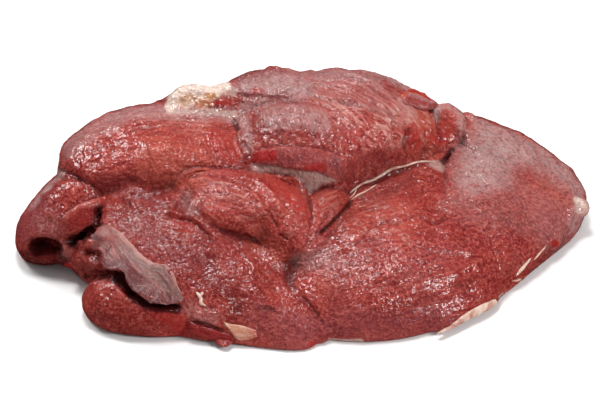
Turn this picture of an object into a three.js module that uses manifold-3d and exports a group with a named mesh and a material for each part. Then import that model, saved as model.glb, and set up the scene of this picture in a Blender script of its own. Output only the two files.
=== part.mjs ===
// Raw boneless venison shoulder: one piece of meat, opened where the bones came out and laid on a flat surface.
// Millimetres, +Z up. The wide front of the cut faces -Y and its thin blade end points to +X.
// The origin is at the middle of the footprint, on the surface that the meat rests on.
import * as THREE from "three";
import { mergeVertices } from "three/addons/utils/BufferGeometryUtils.js";
import Module from "manifold-3d";

const wasm = await Module();
wasm.setup();

// The finished cut, before it is centred: its length, its depth and the height of its crown.
const LENGTH = 306;
const DEPTH = 182;
const HEIGHT = 80;

// Divisions round and along the broad muscles, and round and along the small lobes.
const BROAD = [30, 18];
const SMALL = [16, 10];

// Each muscle is a row of stations from end to end: [x, y, half width, bottom, waist, top].
// Waist is the height at which a section is widest. Section is its squareness (2 is an ellipse), and
// blunt is how square the two ends are (1 is a spindle). A heading in degrees keeps all of a muscle's
// sections parallel; without one they stay square to the path. Slope lifts a section's far side.
const MUSCLES = {
  blade: {
    heading: 0,
    section: 2.3,
    blunt: 0.45,
    slope: 0.1,
    mesh: BROAD,
    stations: [
      [-45, -2, 56, -16, 8, 33],
      [-8, 0, 76, -16, 8, 38],
      [28, 6, 84, -16, 8, 42],
      [62, 14, 83, -16, 8, 44],
      [96, 27, 74, -16, 8, 41],
      [127, 42, 57, -16, 10, 34],
      [156, 46, 34, -12, 12, 23],
    ],
  },
  core: {
    heading: 0,
    section: 2.4,
    blunt: 0.5,
    mesh: BROAD,
    stations: [
      [-136, 26, 40, -10, 14, 38],
      [-98, 26, 52, -10, 14, 45],
      [-50, 26, 66, -10, 14, 50],
      [0, 28, 66, -10, 14, 52],
      [48, 34, 60, -10, 14, 50],
    ],
  },
  dome: {
    heading: -12,
    section: 2.3,
    blunt: 0.45,
    mesh: BROAD,
    stations: [
      [-48, 42, 34, 0, 38, 64],
      [-20, 40, 42, 0, 40, 72],
      [14, 42, 47, 0, 40, 76],
      [48, 46, 46, 0, 38, 73],
      [82, 52, 34, 0, 34, 60],
    ],
  },
  crest: {
    heading: -20,
    section: 2.2,
    blunt: 0.5,
    mesh: BROAD,
    stations: [
      [-20, 62, 24, 10, 44, 74],
      [8, 64, 28, 10, 46, 80],
      [36, 63, 28, 10, 44, 76],
      [60, 62, 25, 10, 40, 67],
      [82, 60, 20, 10, 34, 58],
    ],
  },
  backBump: {
    heading: 18,
    section: 2.2,
    blunt: 0.5,
    mesh: SMALL,
    stations: [
      [-56, 58, 22, 10, 44, 65],
      [-36, 61, 26, 10, 46, 76],
      [-12, 65, 27, 10, 46, 79],
      [12, 68, 22, 10, 44, 76],
    ],
  },
  upperLeft: {
    heading: 0,
    section: 2.4,
    blunt: 0.45,
    mesh: BROAD,
    stations: [
      [-132, 29, 26, 12, 38, 53],
      [-110, 30, 38, 12, 39, 61],
      [-82, 31, 42, 12, 40, 66],
      [-54, 34, 43, 12, 42, 66],
      [-26, 38, 38, 12, 42, 65],
    ],
  },
  rearRoll: {
    section: 2.4,
    blunt: 0.5,
    mesh: BROAD,
    stations: [
      [-122, 48, 29, -8, 14, 39],
      [-74, 64, 31, -8, 16, 49],
      [-28, 68, 33, -8, 18, 54],
      [18, 73, 31, -8, 16, 52],
      [62, 79, 24, -8, 12, 42],
    ],
  },
  foldLip: {
    section: 2.1,
    blunt: 0.5,
    mesh: [20, 14],
    stations: [
      [-82, -9, 10, 20, 36, 46],
      [-58, -12, 16, 20, 38, 53],
      [-34, -16, 22, 16, 38, 56],
      [-10, -25, 23, 12, 34, 53],
      [3, -40, 18, 8, 26, 43],
      [4, -55, 11, 4, 18, 31],
    ],
  },
  wedge: {
    heading: 52,
    section: 2.4,
    blunt: 0.5,
    mesh: SMALL,
    stations: [
      [4, -44, 13, 4, 22, 37],
      [10, -28, 20, 8, 26, 44],
      [18, -12, 22, 10, 28, 49],
      [30, 2, 16, 12, 30, 50],
    ],
  },
  frontSlab: {
    heading: -38,
    section: 2.5,
    blunt: 0.42,
    slope: 0.34,
    mesh: BROAD,
    stations: [
      [-106, -10, 18, 8, 28, 41],
      [-80, -24, 32, 2, 26, 43],
      [-52, -39, 35, -10, 18, 38],
      [-22, -55, 29, -14, 10, 27],
      [9, -76, 18, -12, 2, 12],
    ],
  },
  silverskin: {
    section: 2.6,
    blunt: 0.5,
    mesh: SMALL,
    stations: [
      [-101, -36, 7, 20, 32, 37],
      [-92, -46, 9, 16, 26, 33],
      [-80, -56, 10, 10, 19, 27],
      [-67, -64, 8, 4, 12, 19],
    ],
  },
  frontTip: {
    section: 2.2,
    blunt: 0.5,
    mesh: [20, 14],
    stations: [
      [-111, -43, 14, -8, 8, 17],
      [-95, -49, 20, -8, 10, 25],
      [-72, -55, 20, -8, 10, 25],
      [-46, -61, 14, -8, 6, 16],
    ],
  },
  bottomFlap: {
    heading: -14,
    section: 2.6,
    blunt: 0.5,
    mesh: SMALL,
    stations: [
      [-60, -58, 13, -4, 1, 5],
      [-46, -61, 14, -4, 1, 6],
      [-31, -64, 12, -4, 1, 4],
    ],
  },
  leftRoll: {
    section: 2.4,
    blunt: 0.45,
    slope: 0.4,
    mesh: BROAD,
    stations: [
      [-112, 48, 26, -8, 16, 38],
      [-122, 24, 29, -8, 17, 42],
      [-124, 4, 28, 0, 22, 42],
      [-117, -12, 22, 8, 24, 39],
    ],
  },
  innerFold: {
    section: 2.2,
    blunt: 0.5,
    mesh: SMALL,
    stations: [
      [-126, -10, 6, 20, 27, 33],
      [-116, -9, 7, 22, 31, 39],
      [-104, -6, 6, 24, 34, 42],
    ],
  },
  innerLobe: {
    section: 2.2,
    blunt: 0.5,
    mesh: SMALL,
    stations: [
      [-124, -4, 9, -2, 10, 18],
      [-113, -14, 10, -2, 11, 20],
      [-104, -26, 10, -2, 13, 23],
    ],
  },
  fatLump: {
    heading: 0,
    section: 2.2,
    blunt: 0.5,
    mesh: SMALL,
    stations: [
      [-80, 54, 14, 30, 52, 66],
      [-60, 56, 18, 30, 54, 72],
      [-38, 58, 16, 30, 54, 72],
    ],
  },
  backScraps: {
    heading: 45,
    section: 2.4,
    blunt: 0.5,
    mesh: SMALL,
    stations: [
      [54, 64, 12, 20, 44, 66],
      [70, 60, 14, 20, 42, 61],
      [82, 53, 14, 20, 38, 56],
      [90, 42, 10, 20, 36, 49],
    ],
  },
};

// Openings: [x, y, z, half length, half depth, half height, heading in degrees].
const OPENINGS = {
  rollMouth: [-133, -14, 15, 9, 20, 7, -10],
  foldGap: [-112, -22, 24, 9, 12, 4, -20],
};

// A Catmull-Rom curve through one group of a muscle's station columns.
function columns(stations, pick) {
  const points = stations.map((row) => new THREE.Vector3(...pick(row)));
  return new THREE.CatmullRomCurve3(points, false, "catmullrom", 0.5);
}

const power = (x, p) => Math.sign(x) * Math.abs(x) ** p;

// A sphere whose parallels become the muscle's sections, drawn in at both ends.
function muscleGeometry({ stations, heading, section, blunt, mesh, slope = 0 }) {
  const path = columns(stations, ([x, y, , , waist]) => [x, y, waist]);
  const sizes = columns(stations, ([, , half, bottom, , top]) => [half, bottom, top]);
  const geometry = new THREE.SphereGeometry(1, ...mesh);
  const at = geometry.getAttribute("position");
  for (let i = 0; i < at.count; i++) {
    const pole = THREE.MathUtils.clamp(at.getY(i), -1, 1);
    const t = (1 - pole) / 2;
    const taper = Math.sqrt(1 - pole * pole) ** blunt;
    const phi = Math.atan2(at.getZ(i), at.getX(i));
    const centre = path.getPoint(t);
    const size = sizes.getPoint(t);
    const along = path.getTangent(t);
    const turn = heading === undefined ? Math.atan2(along.y, along.x) : THREE.MathUtils.degToRad(heading);
    const across = size.x * taper * power(Math.cos(phi), 2 / section);
    const rise = (Math.sin(phi) > 0 ? size.z - centre.z : centre.z - size.y) * taper;
    at.setXYZ(
      i,
      centre.x - Math.sin(turn) * across,
      centre.y + Math.cos(turn) * across,
      centre.z + rise * power(Math.sin(phi), 2 / section) + slope * across,
    );
  }
  return geometry;
}

function openingGeometry([x, y, z, length, depth, height, heading]) {
  return new THREE.SphereGeometry(1, ...SMALL)
    .rotateX(Math.PI / 2)
    .scale(length, depth, height)
    .rotateZ(THREE.MathUtils.degToRad(heading))
    .translate(x, y, z);
}

// A closed geometry as a solid that can be joined and cut.
function solid(geometry) {
  const bare = geometry.clone();
  bare.deleteAttribute("normal");
  bare.deleteAttribute("uv");
  const merged = mergeVertices(bare, 1e-3);
  return new wasm.Manifold(
    new wasm.Mesh({
      numProp: 3,
      vertProperties: merged.getAttribute("position").array,
      triVerts: new Uint32Array(merged.index.array),
    }),
  );
}

// A solid's faces as a geometry.
function geometryOf(made) {
  const { vertProperties, triVerts } = made.getMesh();
  const geometry = new THREE.BufferGeometry();
  geometry.setAttribute("position", new THREE.BufferAttribute(vertProperties, 3));
  geometry.setIndex(new THREE.BufferAttribute(triVerts, 1));
  return geometry;
}

let body;
for (const muscle of Object.values(MUSCLES)) {
  const made = solid(muscleGeometry(muscle));
  body = body ? body.add(made) : made;
}
for (const opening of Object.values(OPENINGS)) {
  body = body.subtract(solid(openingGeometry(opening)));
}

// What hangs below the resting surface is cut off flat.
const room = 2 * LENGTH;
const surface = new THREE.BoxGeometry(room, room, room).translate(0, 0, -room / 2);
body = body.subtract(solid(surface));

const geometry = geometryOf(body);

// The footprint is centred on the origin and the three overall sizes are made exact.
geometry.computeBoundingBox();
const size = geometry.boundingBox.getSize(new THREE.Vector3());
const middle = geometry.boundingBox.getCenter(new THREE.Vector3());
geometry.translate(-middle.x, -middle.y, 0);
geometry.scale(LENGTH / size.x, DEPTH / size.y, HEIGHT / size.z);
geometry.computeVertexNormals();

const meat = new THREE.Mesh(
  geometry,
  new THREE.MeshStandardMaterial({ color: 0x8f3a3c, roughness: 0.38, metalness: 0 }),
);
meat.name = "venison_shoulder";

const shoulder = new THREE.Group();
shoulder.add(meat);

export default shoulder;
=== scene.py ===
import math
import bmesh
import bpy
import numpy as np
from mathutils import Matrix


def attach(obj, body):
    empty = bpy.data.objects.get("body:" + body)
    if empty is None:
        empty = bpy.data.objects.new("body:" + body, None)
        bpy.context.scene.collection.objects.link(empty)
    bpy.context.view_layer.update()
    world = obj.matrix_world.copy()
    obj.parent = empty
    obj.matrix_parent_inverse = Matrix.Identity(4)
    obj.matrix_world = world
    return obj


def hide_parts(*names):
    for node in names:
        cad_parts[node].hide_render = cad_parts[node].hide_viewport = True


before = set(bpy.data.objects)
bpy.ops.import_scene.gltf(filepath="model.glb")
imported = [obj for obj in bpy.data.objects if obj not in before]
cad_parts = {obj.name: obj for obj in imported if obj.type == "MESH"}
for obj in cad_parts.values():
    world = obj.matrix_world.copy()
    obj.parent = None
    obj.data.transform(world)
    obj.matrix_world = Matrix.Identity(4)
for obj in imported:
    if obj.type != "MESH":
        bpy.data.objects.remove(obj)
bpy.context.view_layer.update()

import openvdb
from mathutils import Vector
from mathutils.bvhtree import BVHTree

meatNode = "venison_shoulder"

# Shapes are worked out in millimetres and turned into metres when a mesh is made.
toMetres = 0.001
frameSize = (612, 408)

# Views: where the camera stands, and the side from which the hidden folds are drawn.
frontView = dict(target=(0.5, -9.4, 35.5), azimuth=0.0, elevation=32.0, distance=900.0, lens=101.2,
                 sensor=36.0)
backView = dict(frontView, azimuth=180.0, elevation=25.0)


def viewAxes(view):
    turn, tilt = math.radians(view["azimuth"]), math.radians(view["elevation"])
    ahead = np.array([-math.sin(turn) * math.cos(tilt), math.cos(turn) * math.cos(tilt), -math.sin(tilt)])
    right = np.array([math.cos(turn), math.sin(turn), 0.0])
    return ahead, right, np.cross(right, ahead)


def viewEye(view):
    return np.array(view["target"]) - view["distance"] * viewAxes(view)[0]


def focalDots(view):
    return view["lens"] / view["sensor"] * frameSize[0]


def dotSize(view):
    # millimetres that one dot of the picture frame covers at the target
    return view["distance"] / focalDots(view)


def sightLines(spots, view):
    # ways from the eye through spots of the picture frame, in dots from its top left corner
    ahead, right, up = viewAxes(view)
    aside, above = np.asarray(spots, float).T
    aside, above = (aside - frameSize[0] / 2) / focalDots(view), (frameSize[1] / 2 - above) / focalDots(view)
    return ahead + right * aside[:, None] + up * above[:, None]


def pictureSpot(points, view):
    # where points are seen in the picture frame
    ahead, right, up = viewAxes(view)
    offset = points - viewEye(view)
    deep = offset @ ahead
    return np.stack([frameSize[0] / 2 + offset @ right / deep * focalDots(view),
                     frameSize[1] / 2 - offset @ up / deep * focalDots(view)], axis=1)


def placed(name, data):
    made = bpy.data.objects.new(name, data)
    bpy.context.scene.collection.objects.link(made)
    return made


def makeCamera(view):
    data = bpy.data.cameras.new("camera")
    data.lens = view["lens"]
    data.sensor_width = view["sensor"]
    data.clip_start, data.clip_end = 0.05, 20.0
    camera = placed("camera", data)
    camera.location = viewEye(view) * toMetres
    camera.rotation_euler = (math.radians(90 - view["elevation"]), 0, math.radians(view["azimuth"]))
    bpy.context.scene.camera = camera


print("camera")
makeCamera(frontView)


def smoothStep(x, low, high):
    t = np.clip((x - low) / (high - low), 0, 1)
    return t * t * (3 - 2 * t)


def gradientNoise(points, seed=0):
    # lattice noise from -1 to 1, the same on every run
    rng = np.random.default_rng(seed)
    shuffle = rng.permutation(256)
    shuffle = np.concatenate([shuffle, shuffle])
    ways = rng.normal(size=(256, 3))
    ways /= np.linalg.norm(ways, axis=1, keepdims=True)
    cell = np.floor(points).astype(int)
    part = points - cell
    ease = part**3 * (part * (part * 6 - 15) + 10)
    total = np.zeros(len(points))
    for dx in (0, 1):
        for dy in (0, 1):
            for dz in (0, 1):
                x, y, z = (cell[:, 0] + dx) & 255, (cell[:, 1] + dy) & 255, (cell[:, 2] + dz) & 255
                way = ways[shuffle[shuffle[shuffle[x] + y] + z]]
                weight = (
                    (ease[:, 0] if dx else 1 - ease[:, 0])
                    * (ease[:, 1] if dy else 1 - ease[:, 1])
                    * (ease[:, 2] if dz else 1 - ease[:, 2])
                )
                total += weight * ((part - (dx, dy, dz)) * way).sum(axis=1)
    return total * 1.6


def layeredNoise(points, size, layers=3, seed=0, rough=0.5):
    total, strength, norm = np.zeros(len(points)), 1.0, 0.0
    for i in range(layers):
        total += strength * gradientNoise(points / size * 2**i, seed + i)
        norm += strength
        strength *= rough
    return total / norm


def curvePoints(rows, t):
    # a Catmull-Rom curve through rows, at t from 0 to 1
    rows = np.asarray(rows, float)
    last = len(rows) - 1
    place = np.clip(t, 0, 1) * last
    i = np.minimum(np.floor(place).astype(int), last - 1)
    w = (place - i)[:, None]
    p1, p2 = rows[i], rows[i + 1]
    p0 = np.where((i > 0)[:, None], rows[np.maximum(i - 1, 0)], 2 * rows[0] - rows[1])
    p3 = np.where((i + 2 <= last)[:, None], rows[np.minimum(i + 2, last)], 2 * rows[-1] - rows[-2])
    return 0.5 * (
        2 * p1 + (p2 - p0) * w + (2 * p0 - 5 * p1 + 4 * p2 - p3) * w**2 + (3 * p1 - p0 - 3 * p2 + p3) * w**3
    )


def smoothMin(a, b, k):
    h = np.maximum(k - np.abs(a - b), 0) / k
    return np.minimum(a, b) - h * h * k / 4


def smoothMax(a, b, k):
    return -smoothMin(-a, -b, k)


# Stations run from end to end: x, y, half width, bottom, waist, top. The group says which muscles
# are grown together; grain is the heading and the dip of the fibres in degrees.
muscles = {
    "blade": dict(
        group="slab", heading=0, section=2.6, blunt=0.45, slope=0.1, grain=(24, 0),
        stations=[
            (-45, -2, 56, -16, 8, 33), (-8, 0, 76, -16, 8, 38), (28, 6, 84, -16, 8, 42),
            (62, 14, 83, -16, 8, 44), (96, 27, 74, -16, 8, 41), (127, 42, 57, -16, 10, 34),
            (156, 46, 34, -12, 12, 23),
        ],
    ),
    "core": dict(
        group="middle", heading=0, section=2.4, blunt=0.5, grain=(0, 0),
        stations=[
            (-136, 26, 40, -10, 14, 38), (-98, 26, 52, -10, 14, 45), (-50, 26, 66, -10, 14, 50),
            (0, 28, 66, -10, 14, 52), (48, 34, 60, -10, 14, 50),
        ],
    ),
    "dome": dict(
        group="crown", heading=-12, section=2.3, blunt=0.45, grain=(-10, 0),
        stations=[
            (-48, 42, 34, 0, 38, 64), (-20, 40, 42, 0, 40, 72), (14, 42, 47, 0, 40, 76),
            (48, 46, 46, 0, 38, 73), (82, 52, 34, 0, 34, 60),
        ],
    ),
    "crest": dict(
        group="crown", heading=-20, section=2.2, blunt=0.5, grain=(-20, 0),
        stations=[
            (-20, 62, 24, 10, 44, 74), (8, 64, 28, 10, 46, 80), (36, 63, 28, 10, 44, 76),
            (60, 61, 24, 10, 40, 64), (80, 58, 19, 10, 34, 54),
        ],
    ),
    "backBump": dict(
        group="crown", heading=18, section=2.2, blunt=0.5, grain=(10, 0),
        stations=[
            (-56, 58, 22, 10, 44, 65), (-36, 61, 26, 10, 46, 76), (-12, 65, 27, 10, 46, 79),
            (12, 68, 22, 10, 44, 76),
        ],
    ),
    "upperLeft": dict(
        group="upperLeft", heading=0, section=2.4, blunt=0.45, grain=(4, 0),
        stations=[
            (-132, 34, 23, 18, 40, 53), (-110, 37, 32, 16, 41, 61), (-82, 33, 42, 14, 40, 66),
            (-54, 36, 42, 12, 42, 66), (-26, 38, 38, 12, 42, 65),
        ],
    ),
    "rearRoll": dict(
        group="rear", section=2.4, blunt=0.5, grain=(8, 0),
        stations=[
            (-122, 48, 29, -8, 14, 39), (-74, 64, 31, -8, 16, 49), (-28, 68, 33, -8, 18, 54),
            (18, 73, 31, -8, 16, 52), (62, 79, 24, -8, 12, 42),
        ],
    ),
    "foldLip": dict(
        group="lip", section=2.1, blunt=0.5, grain=(-25, 0),
        stations=[
            (-80, -5, 10, 20, 36, 46), (-58, -6, 19, 20, 38, 53), (-34, -13, 24, 16, 38, 56),
            (-12, -23, 22, 12, 34, 53), (-5, -36, 15, 8, 26, 45), (-6, -47, 9, 4, 20, 36),
        ],
    ),
    "wedge": dict(
        group="wedge", heading=70, section=2.4, blunt=0.5, grain=(50, 0),
        stations=[
            (0, -48, 4, 4, 20, 31), (2, -38, 7, 6, 24, 38), (7, -25, 10, 8, 28, 44),
            (13, -11, 13, 10, 28, 49), (18, 2, 12, 12, 30, 50),
        ],
    ),
    "frontSlab": dict(
        group="front", heading=-38, section=2.5, blunt=0.42, slope=0.34, grain=(-62, 30),
        stations=[
            (-106, -10, 18, 8, 28, 41), (-80, -24, 32, 2, 26, 43), (-52, -39, 35, -10, 18, 38),
            (-22, -55, 29, -14, 10, 27), (9, -76, 18, -12, 2, 12),
        ],
    ),
    "silverskin": dict(
        group="front", section=2.6, blunt=0.5, grain=(-40, 20),
        stations=[
            (-101, -36, 7, 20, 32, 37), (-92, -46, 9, 16, 26, 33), (-80, -56, 10, 10, 19, 27),
            (-67, -64, 8, 4, 12, 19),
        ],
    ),
    "frontTip": dict(
        group="tip", section=2.2, blunt=0.5, grain=(-20, 0),
        stations=[
            (-111, -43, 14, -8, 8, 17), (-95, -49, 20, -8, 10, 25), (-72, -55, 20, -8, 10, 25),
            (-46, -61, 14, -8, 6, 16),
        ],
    ),
    "bottomFlap": dict(
        group="tip", heading=-14, section=2.6, blunt=0.5, grain=(-20, 0),
        stations=[(-60, -58, 13, -4, 1, 5), (-46, -61, 14, -4, 1, 6), (-31, -64, 12, -4, 1, 4)],
    ),
    "leftRoll": dict(
        group="roll", section=2.4, blunt=0.45, slope=0.4, grain=(80, 0),
        stations=[
            (-112, 48, 26, -8, 16, 38), (-124, 24, 29, -8, 17, 43), (-127, 4, 29, 0, 22, 43),
            (-119, -12, 23, 8, 24, 39),
        ],
    ),
    "innerFold": dict(
        group="innerFold", section=2.2, blunt=0.5, grain=(15, 0),
        stations=[(-126, -10, 6, 20, 27, 33), (-116, -9, 7, 22, 31, 39), (-104, -6, 6, 24, 34, 42)],
    ),
    "innerLobe": dict(
        group="innerLobe", section=2.2, blunt=0.5, grain=(-40, 0),
        stations=[(-124, -4, 9, -2, 10, 18), (-113, -14, 10, -2, 11, 20), (-104, -26, 10, -2, 13, 23)],
    ),
    "fatLump": dict(
        group="lump", heading=0, section=2.2, blunt=0.5, grain=(0, 0),
        stations=[(-80, 54, 14, 30, 52, 66), (-60, 56, 18, 30, 54, 72), (-38, 58, 16, 30, 54, 72)],
    ),
    "backScraps": dict(
        group="crown", heading=45, section=2.4, blunt=0.5, grain=(-60, 0),
        stations=[
            (54, 64, 12, 20, 44, 66), (70, 60, 14, 20, 42, 61), (82, 53, 14, 20, 38, 56),
            (90, 42, 10, 20, 36, 49),
        ],
    ),
}

# inner is how softly a group's own muscles melt together, outer how it melts into the rest, seam how deep
# the line is where it meets another group.
groups = {
    "slab": dict(inner=2, outer=4, seam=0.45),
    "middle": dict(inner=2, outer=8, seam=0.1),
    "crown": dict(inner=9, outer=4, seam=0.45),
    "upperLeft": dict(inner=2, outer=4, seam=0.45),
    "rear": dict(inner=2, outer=5, seam=0.45),
    "lip": dict(inner=2, outer=5, seam=0.4),
    "wedge": dict(inner=2, outer=5, seam=0.35),
    "front": dict(inner=4, outer=5, seam=0.4),
    "tip": dict(inner=3, outer=3, seam=0.9),
    "roll": dict(inner=2, outer=3, seam=0.8),
    "innerFold": dict(inner=2, outer=3, seam=0.7),
    "innerLobe": dict(inner=2, outer=3, seam=0.7),
    "lump": dict(inner=2, outer=7, seam=0.15),
}

# The same centring and overall sizes as the solid.
middle = np.array([1.52, 9.61, 0.0])
fit = np.array([0.9904, 0.9821, 1.0198])

# Where outlines and seams are drawn a little further: from and to, in dots of the picture frame.
nudges = dict(
    reach=13.0, ease=0.25,
    pairs=[
        ((30, 190), (38, 191)), ((20, 206), (28, 208)), ((12, 232), (16, 232)), ((14, 248), (17, 248)),
        ((25, 264), (26, 260)), ((45, 268), (46, 263)), ((57, 262), (60, 264)), ((80, 172), (80, 179)),
        ((92, 175), (92, 185)), ((98, 188), (97, 187)), ((120, 203), (120, 191)), ((150, 203), (148, 201)),
        ((240, 244), (240, 236)), ((165, 198), (167, 190)), ((176, 189), (179, 181)),
        ((230, 120), (236, 121)), ((230, 140), (240, 140)), ((233, 160), (248, 159)),
        ((372, 190), (368, 182)), ((390, 183), (390, 171)), ((420, 170), (420, 162)),
        ((400, 83), (400, 92)), ((380, 77), (379, 79)), ((415, 87), (415, 91)), ((365, 70), (365, 73)),
        ((225, 80), (232, 84)), ((235, 73), (243, 78)), ((248, 67), (257, 72)), ((262, 67), (266, 66)),
        ((470, 125), (470, 117)), ((490, 128), (490, 122)), ((510, 134), (510, 130)),
        ((584, 206), (588, 206)), ((578, 228), (575, 230)), ((297, 283), (289, 276)),
        ((303, 297), (300, 294)), ((310, 315), (314, 313)),
    ],
)


def nudged(points, settings, view):
    # each point slides level with the ground, so heights stay as they are
    spot = pictureSpot(points, view)
    total, move = np.full(len(points), settings["ease"]), np.zeros((len(points), 2))
    for start, end in settings["pairs"]:
        weight = np.exp(-((spot - start) ** 2).sum(axis=1) / (2 * settings["reach"] ** 2))
        total += weight
        move += weight[:, None] * (np.array(end) - start)
    move /= total[:, None]
    sideways = move[:, 0] * dotSize(view)
    back = -move[:, 1] * dotSize(view) / math.sin(math.radians(view["elevation"]))
    return points + np.stack([sideways, back, np.zeros(len(points))], axis=1)


# The grid in millimetres; band is how far from the surface distances are kept.
volume = dict(voxel=0.8, band=9.0, low=(-160, -98, -6), high=(160, 98, 88), seamWidth=1.0, lowerEdge=3.0)
voxel, band = volume["voxel"], volume["band"]
gridLow = np.floor(np.array(volume["low"]) / voxel).astype(int)
gridHigh = np.ceil(np.array(volume["high"]) / voxel).astype(int)


def muscleShell(muscle, turns=84, rings=64):
    # a closed shell of quads round a muscle's sections, drawn in at both ends
    rows = np.array(muscle["stations"], float)
    angle = np.linspace(0, np.pi, rings + 1)
    t = (1 - np.cos(angle)) / 2
    taper = np.clip(np.sin(angle), 0, 1) ** muscle["blunt"]
    path = curvePoints(rows[:, [0, 1, 4]], t)
    sizes = curvePoints(rows[:, [2, 3, 5]], t)
    if "heading" in muscle:
        turn = np.full(len(t), math.radians(muscle["heading"]))
    else:
        along = curvePoints(rows[:, :2], t + 1e-4) - curvePoints(rows[:, :2], t - 1e-4)
        turn = np.arctan2(along[:, 1], along[:, 0])
    phi = np.linspace(0, 2 * np.pi, turns, endpoint=False)
    squareness = 2 / muscle["section"]
    cosine = np.sign(np.cos(phi)) * np.abs(np.cos(phi)) ** squareness
    sine = np.sign(np.sin(phi)) * np.abs(np.sin(phi)) ** squareness
    across = (sizes[:, 0] * taper)[:, None] * cosine
    up = ((sizes[:, 2] - path[:, 2]) * taper)[:, None]
    down = ((path[:, 2] - sizes[:, 1]) * taper)[:, None]
    rise = np.where(sine > 0, up * sine, down * sine)
    x = path[:, 0:1] - np.sin(turn)[:, None] * across
    y = path[:, 1:2] + np.cos(turn)[:, None] * across
    z = path[:, 2:3] + rise + muscle.get("slope", 0) * across
    points = nudged((np.stack([x, y, z], axis=-1).reshape(-1, 3) - middle) * fit, nudges, frontView)
    ring, spot = np.meshgrid(np.arange(rings), np.arange(turns), indexing="ij")
    nextSpot = (spot + 1) % turns
    quads = np.stack([ring * turns + spot, ring * turns + nextSpot, (ring + 1) * turns + nextSpot,
                      (ring + 1) * turns + spot], axis=-1).reshape(-1, 4)
    return points, quads


def distanceBox(points, quads):
    # distance to a closed shell on the part of the grid round it, negative inside
    low = np.maximum(np.floor((points.min(axis=0) - band) / voxel).astype(int), gridLow)
    high = np.minimum(np.ceil((points.max(axis=0) + band) / voxel).astype(int), gridHigh)
    grid = openvdb.FloatGrid.createLevelSetFromPolygons(
        points.astype(np.float32), quads=quads.astype(np.uint32),
        transform=openvdb.createLinearTransform(voxel), halfWidth=band / voxel)
    box = np.empty(high - low, np.float32)
    grid.copyToArray(box, ijk=tuple(int(i) for i in low))
    return box, low


def boxSlices(box, low):
    start = low - gridLow
    return tuple(slice(s, s + n) for s, n in zip(start, box.shape))


print("muscles")
shape = tuple(gridHigh - gridLow)
muscleBoxes = {}
groupFields = {}
for name, muscle in muscles.items():
    box, low = distanceBox(*muscleShell(muscle))
    muscleBoxes[name] = (box, low)
    field = groupFields.setdefault(muscle["group"], np.full(shape, band, np.float32))
    part = boxSlices(box, low)
    field[part] = smoothMin(field[part], box, groups[muscle["group"]]["inner"])

body = np.full(shape, band, np.float32)
nearest = np.full(shape, band, np.float32)
second = np.full(shape, band, np.float32)
nearestSeam = np.zeros(shape, np.float32)
secondSeam = np.zeros(shape, np.float32)
for name, field in groupFields.items():
    settings = groups[name]
    body = smoothMin(body, field, settings["outer"])
    closer = field < nearest
    between = ~closer & (field < second)
    second = np.where(closer, nearest, np.where(between, field, second))
    secondSeam = np.where(closer, nearestSeam, np.where(between, settings["seam"], secondSeam))
    nearest = np.where(closer, field, nearest)
    nearestSeam = np.where(closer, settings["seam"], nearestSeam)
seamLine = np.exp(-(((second - nearest) / volume["seamWidth"]) ** 2))
body += np.minimum(nearestSeam, secondSeam) * seamLine
del groupFields, second, nearest, nearestSeam, secondSeam


def fieldMesh(field):
    grid = openvdb.FloatGrid(band)
    grid.copyFromArray(field, ijk=tuple(int(i) for i in gridLow))
    grid.transform = openvdb.createLinearTransform(voxel)
    return grid.convertToQuads(0.0)


roughPoints, roughQuads = fieldMesh(body)
meatTree = BVHTree.FromPolygons(roughPoints.tolist(), roughQuads.tolist())


def pathLength(path):
    return np.linalg.norm(np.diff(np.asarray(path, float), axis=0), axis=1).sum()


def evenPath(path, step):
    path = np.asarray(path, float)
    if len(path) == 1:
        return path
    return curvePoints(path, np.linspace(0, 1, max(3, int(pathLength(path) / step))))


def stroke(path, step=1.2):
    # where sight lines through a path of the picture frame meet the meat, and its normals there
    places, normals = [], []
    for way in sightLines(evenPath(path, step), frontView):
        place, normal, _, _ = meatTree.ray_cast(Vector(viewEye(frontView)), Vector(way))
        if place is None:
            continue
        if normal.dot(Vector(way)) > 0:
            normal.negate()
        places.append(place)
        normals.append(normal)
    return np.array(places, float).reshape(-1, 3), np.array(normals, float).reshape(-1, 3)


def stamp(centres, radii, reach=4.0):
    # distance to a row of balls, on the part of the grid round them
    edge = radii.max() + reach
    low = np.maximum(np.floor((centres.min(axis=0) - edge) / voxel).astype(int), gridLow)
    high = np.minimum(np.ceil((centres.max(axis=0) + edge) / voxel).astype(int) + 1, gridHigh)
    box = np.full(high - low, 100.0, np.float32)
    for centre, radius in zip(centres, radii):
        a = np.maximum(np.floor((centre - radius - reach) / voxel).astype(int), low)
        b = np.minimum(np.ceil((centre + radius + reach) / voxel).astype(int) + 1, high)
        if (b <= a).any():
            continue
        x, y, z = (((np.arange(a[i], b[i]) * voxel - centre[i]) ** 2).astype(np.float32) for i in range(3))
        distance = np.sqrt(x[:, None, None] + y[None, :, None] + z[None, None, :]) - radius
        part = box[a[0] - low[0]:b[0] - low[0], a[1] - low[1]:b[1] - low[1], a[2] - low[2]:b[2] - low[2]]
        np.minimum(part, distance, out=part)
    return box, low


def endTaper(count, least=0.35):
    s = np.linspace(0, 1, count)
    return least + (1 - least) * np.sin(np.pi * s) ** 0.5


def carve(points, width, depth, lean=(0, 0, 0), soft=1.0):
    # a slit along a stroke: width is half its opening, lean bends it away from straight in
    places, normals = stroke(points)
    if len(places) == 0:
        return
    taper = endTaper(len(places)) if len(places) > 1 else np.ones(1)
    inward = -normals + np.array(lean)
    inward /= np.linalg.norm(inward, axis=1, keepdims=True)
    centres, radii = [], []
    for deep in np.arange(-0.6, depth, 0.7):
        centres.append(places + inward * (deep * taper[:, None]))
        radii.append(width * taper * (1 - 0.55 * max(deep, 0) / depth))
    box, low = stamp(np.concatenate(centres), np.concatenate(radii))
    part = boxSlices(box, low)
    body[part] = smoothMax(body[part], -box, soft)


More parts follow.
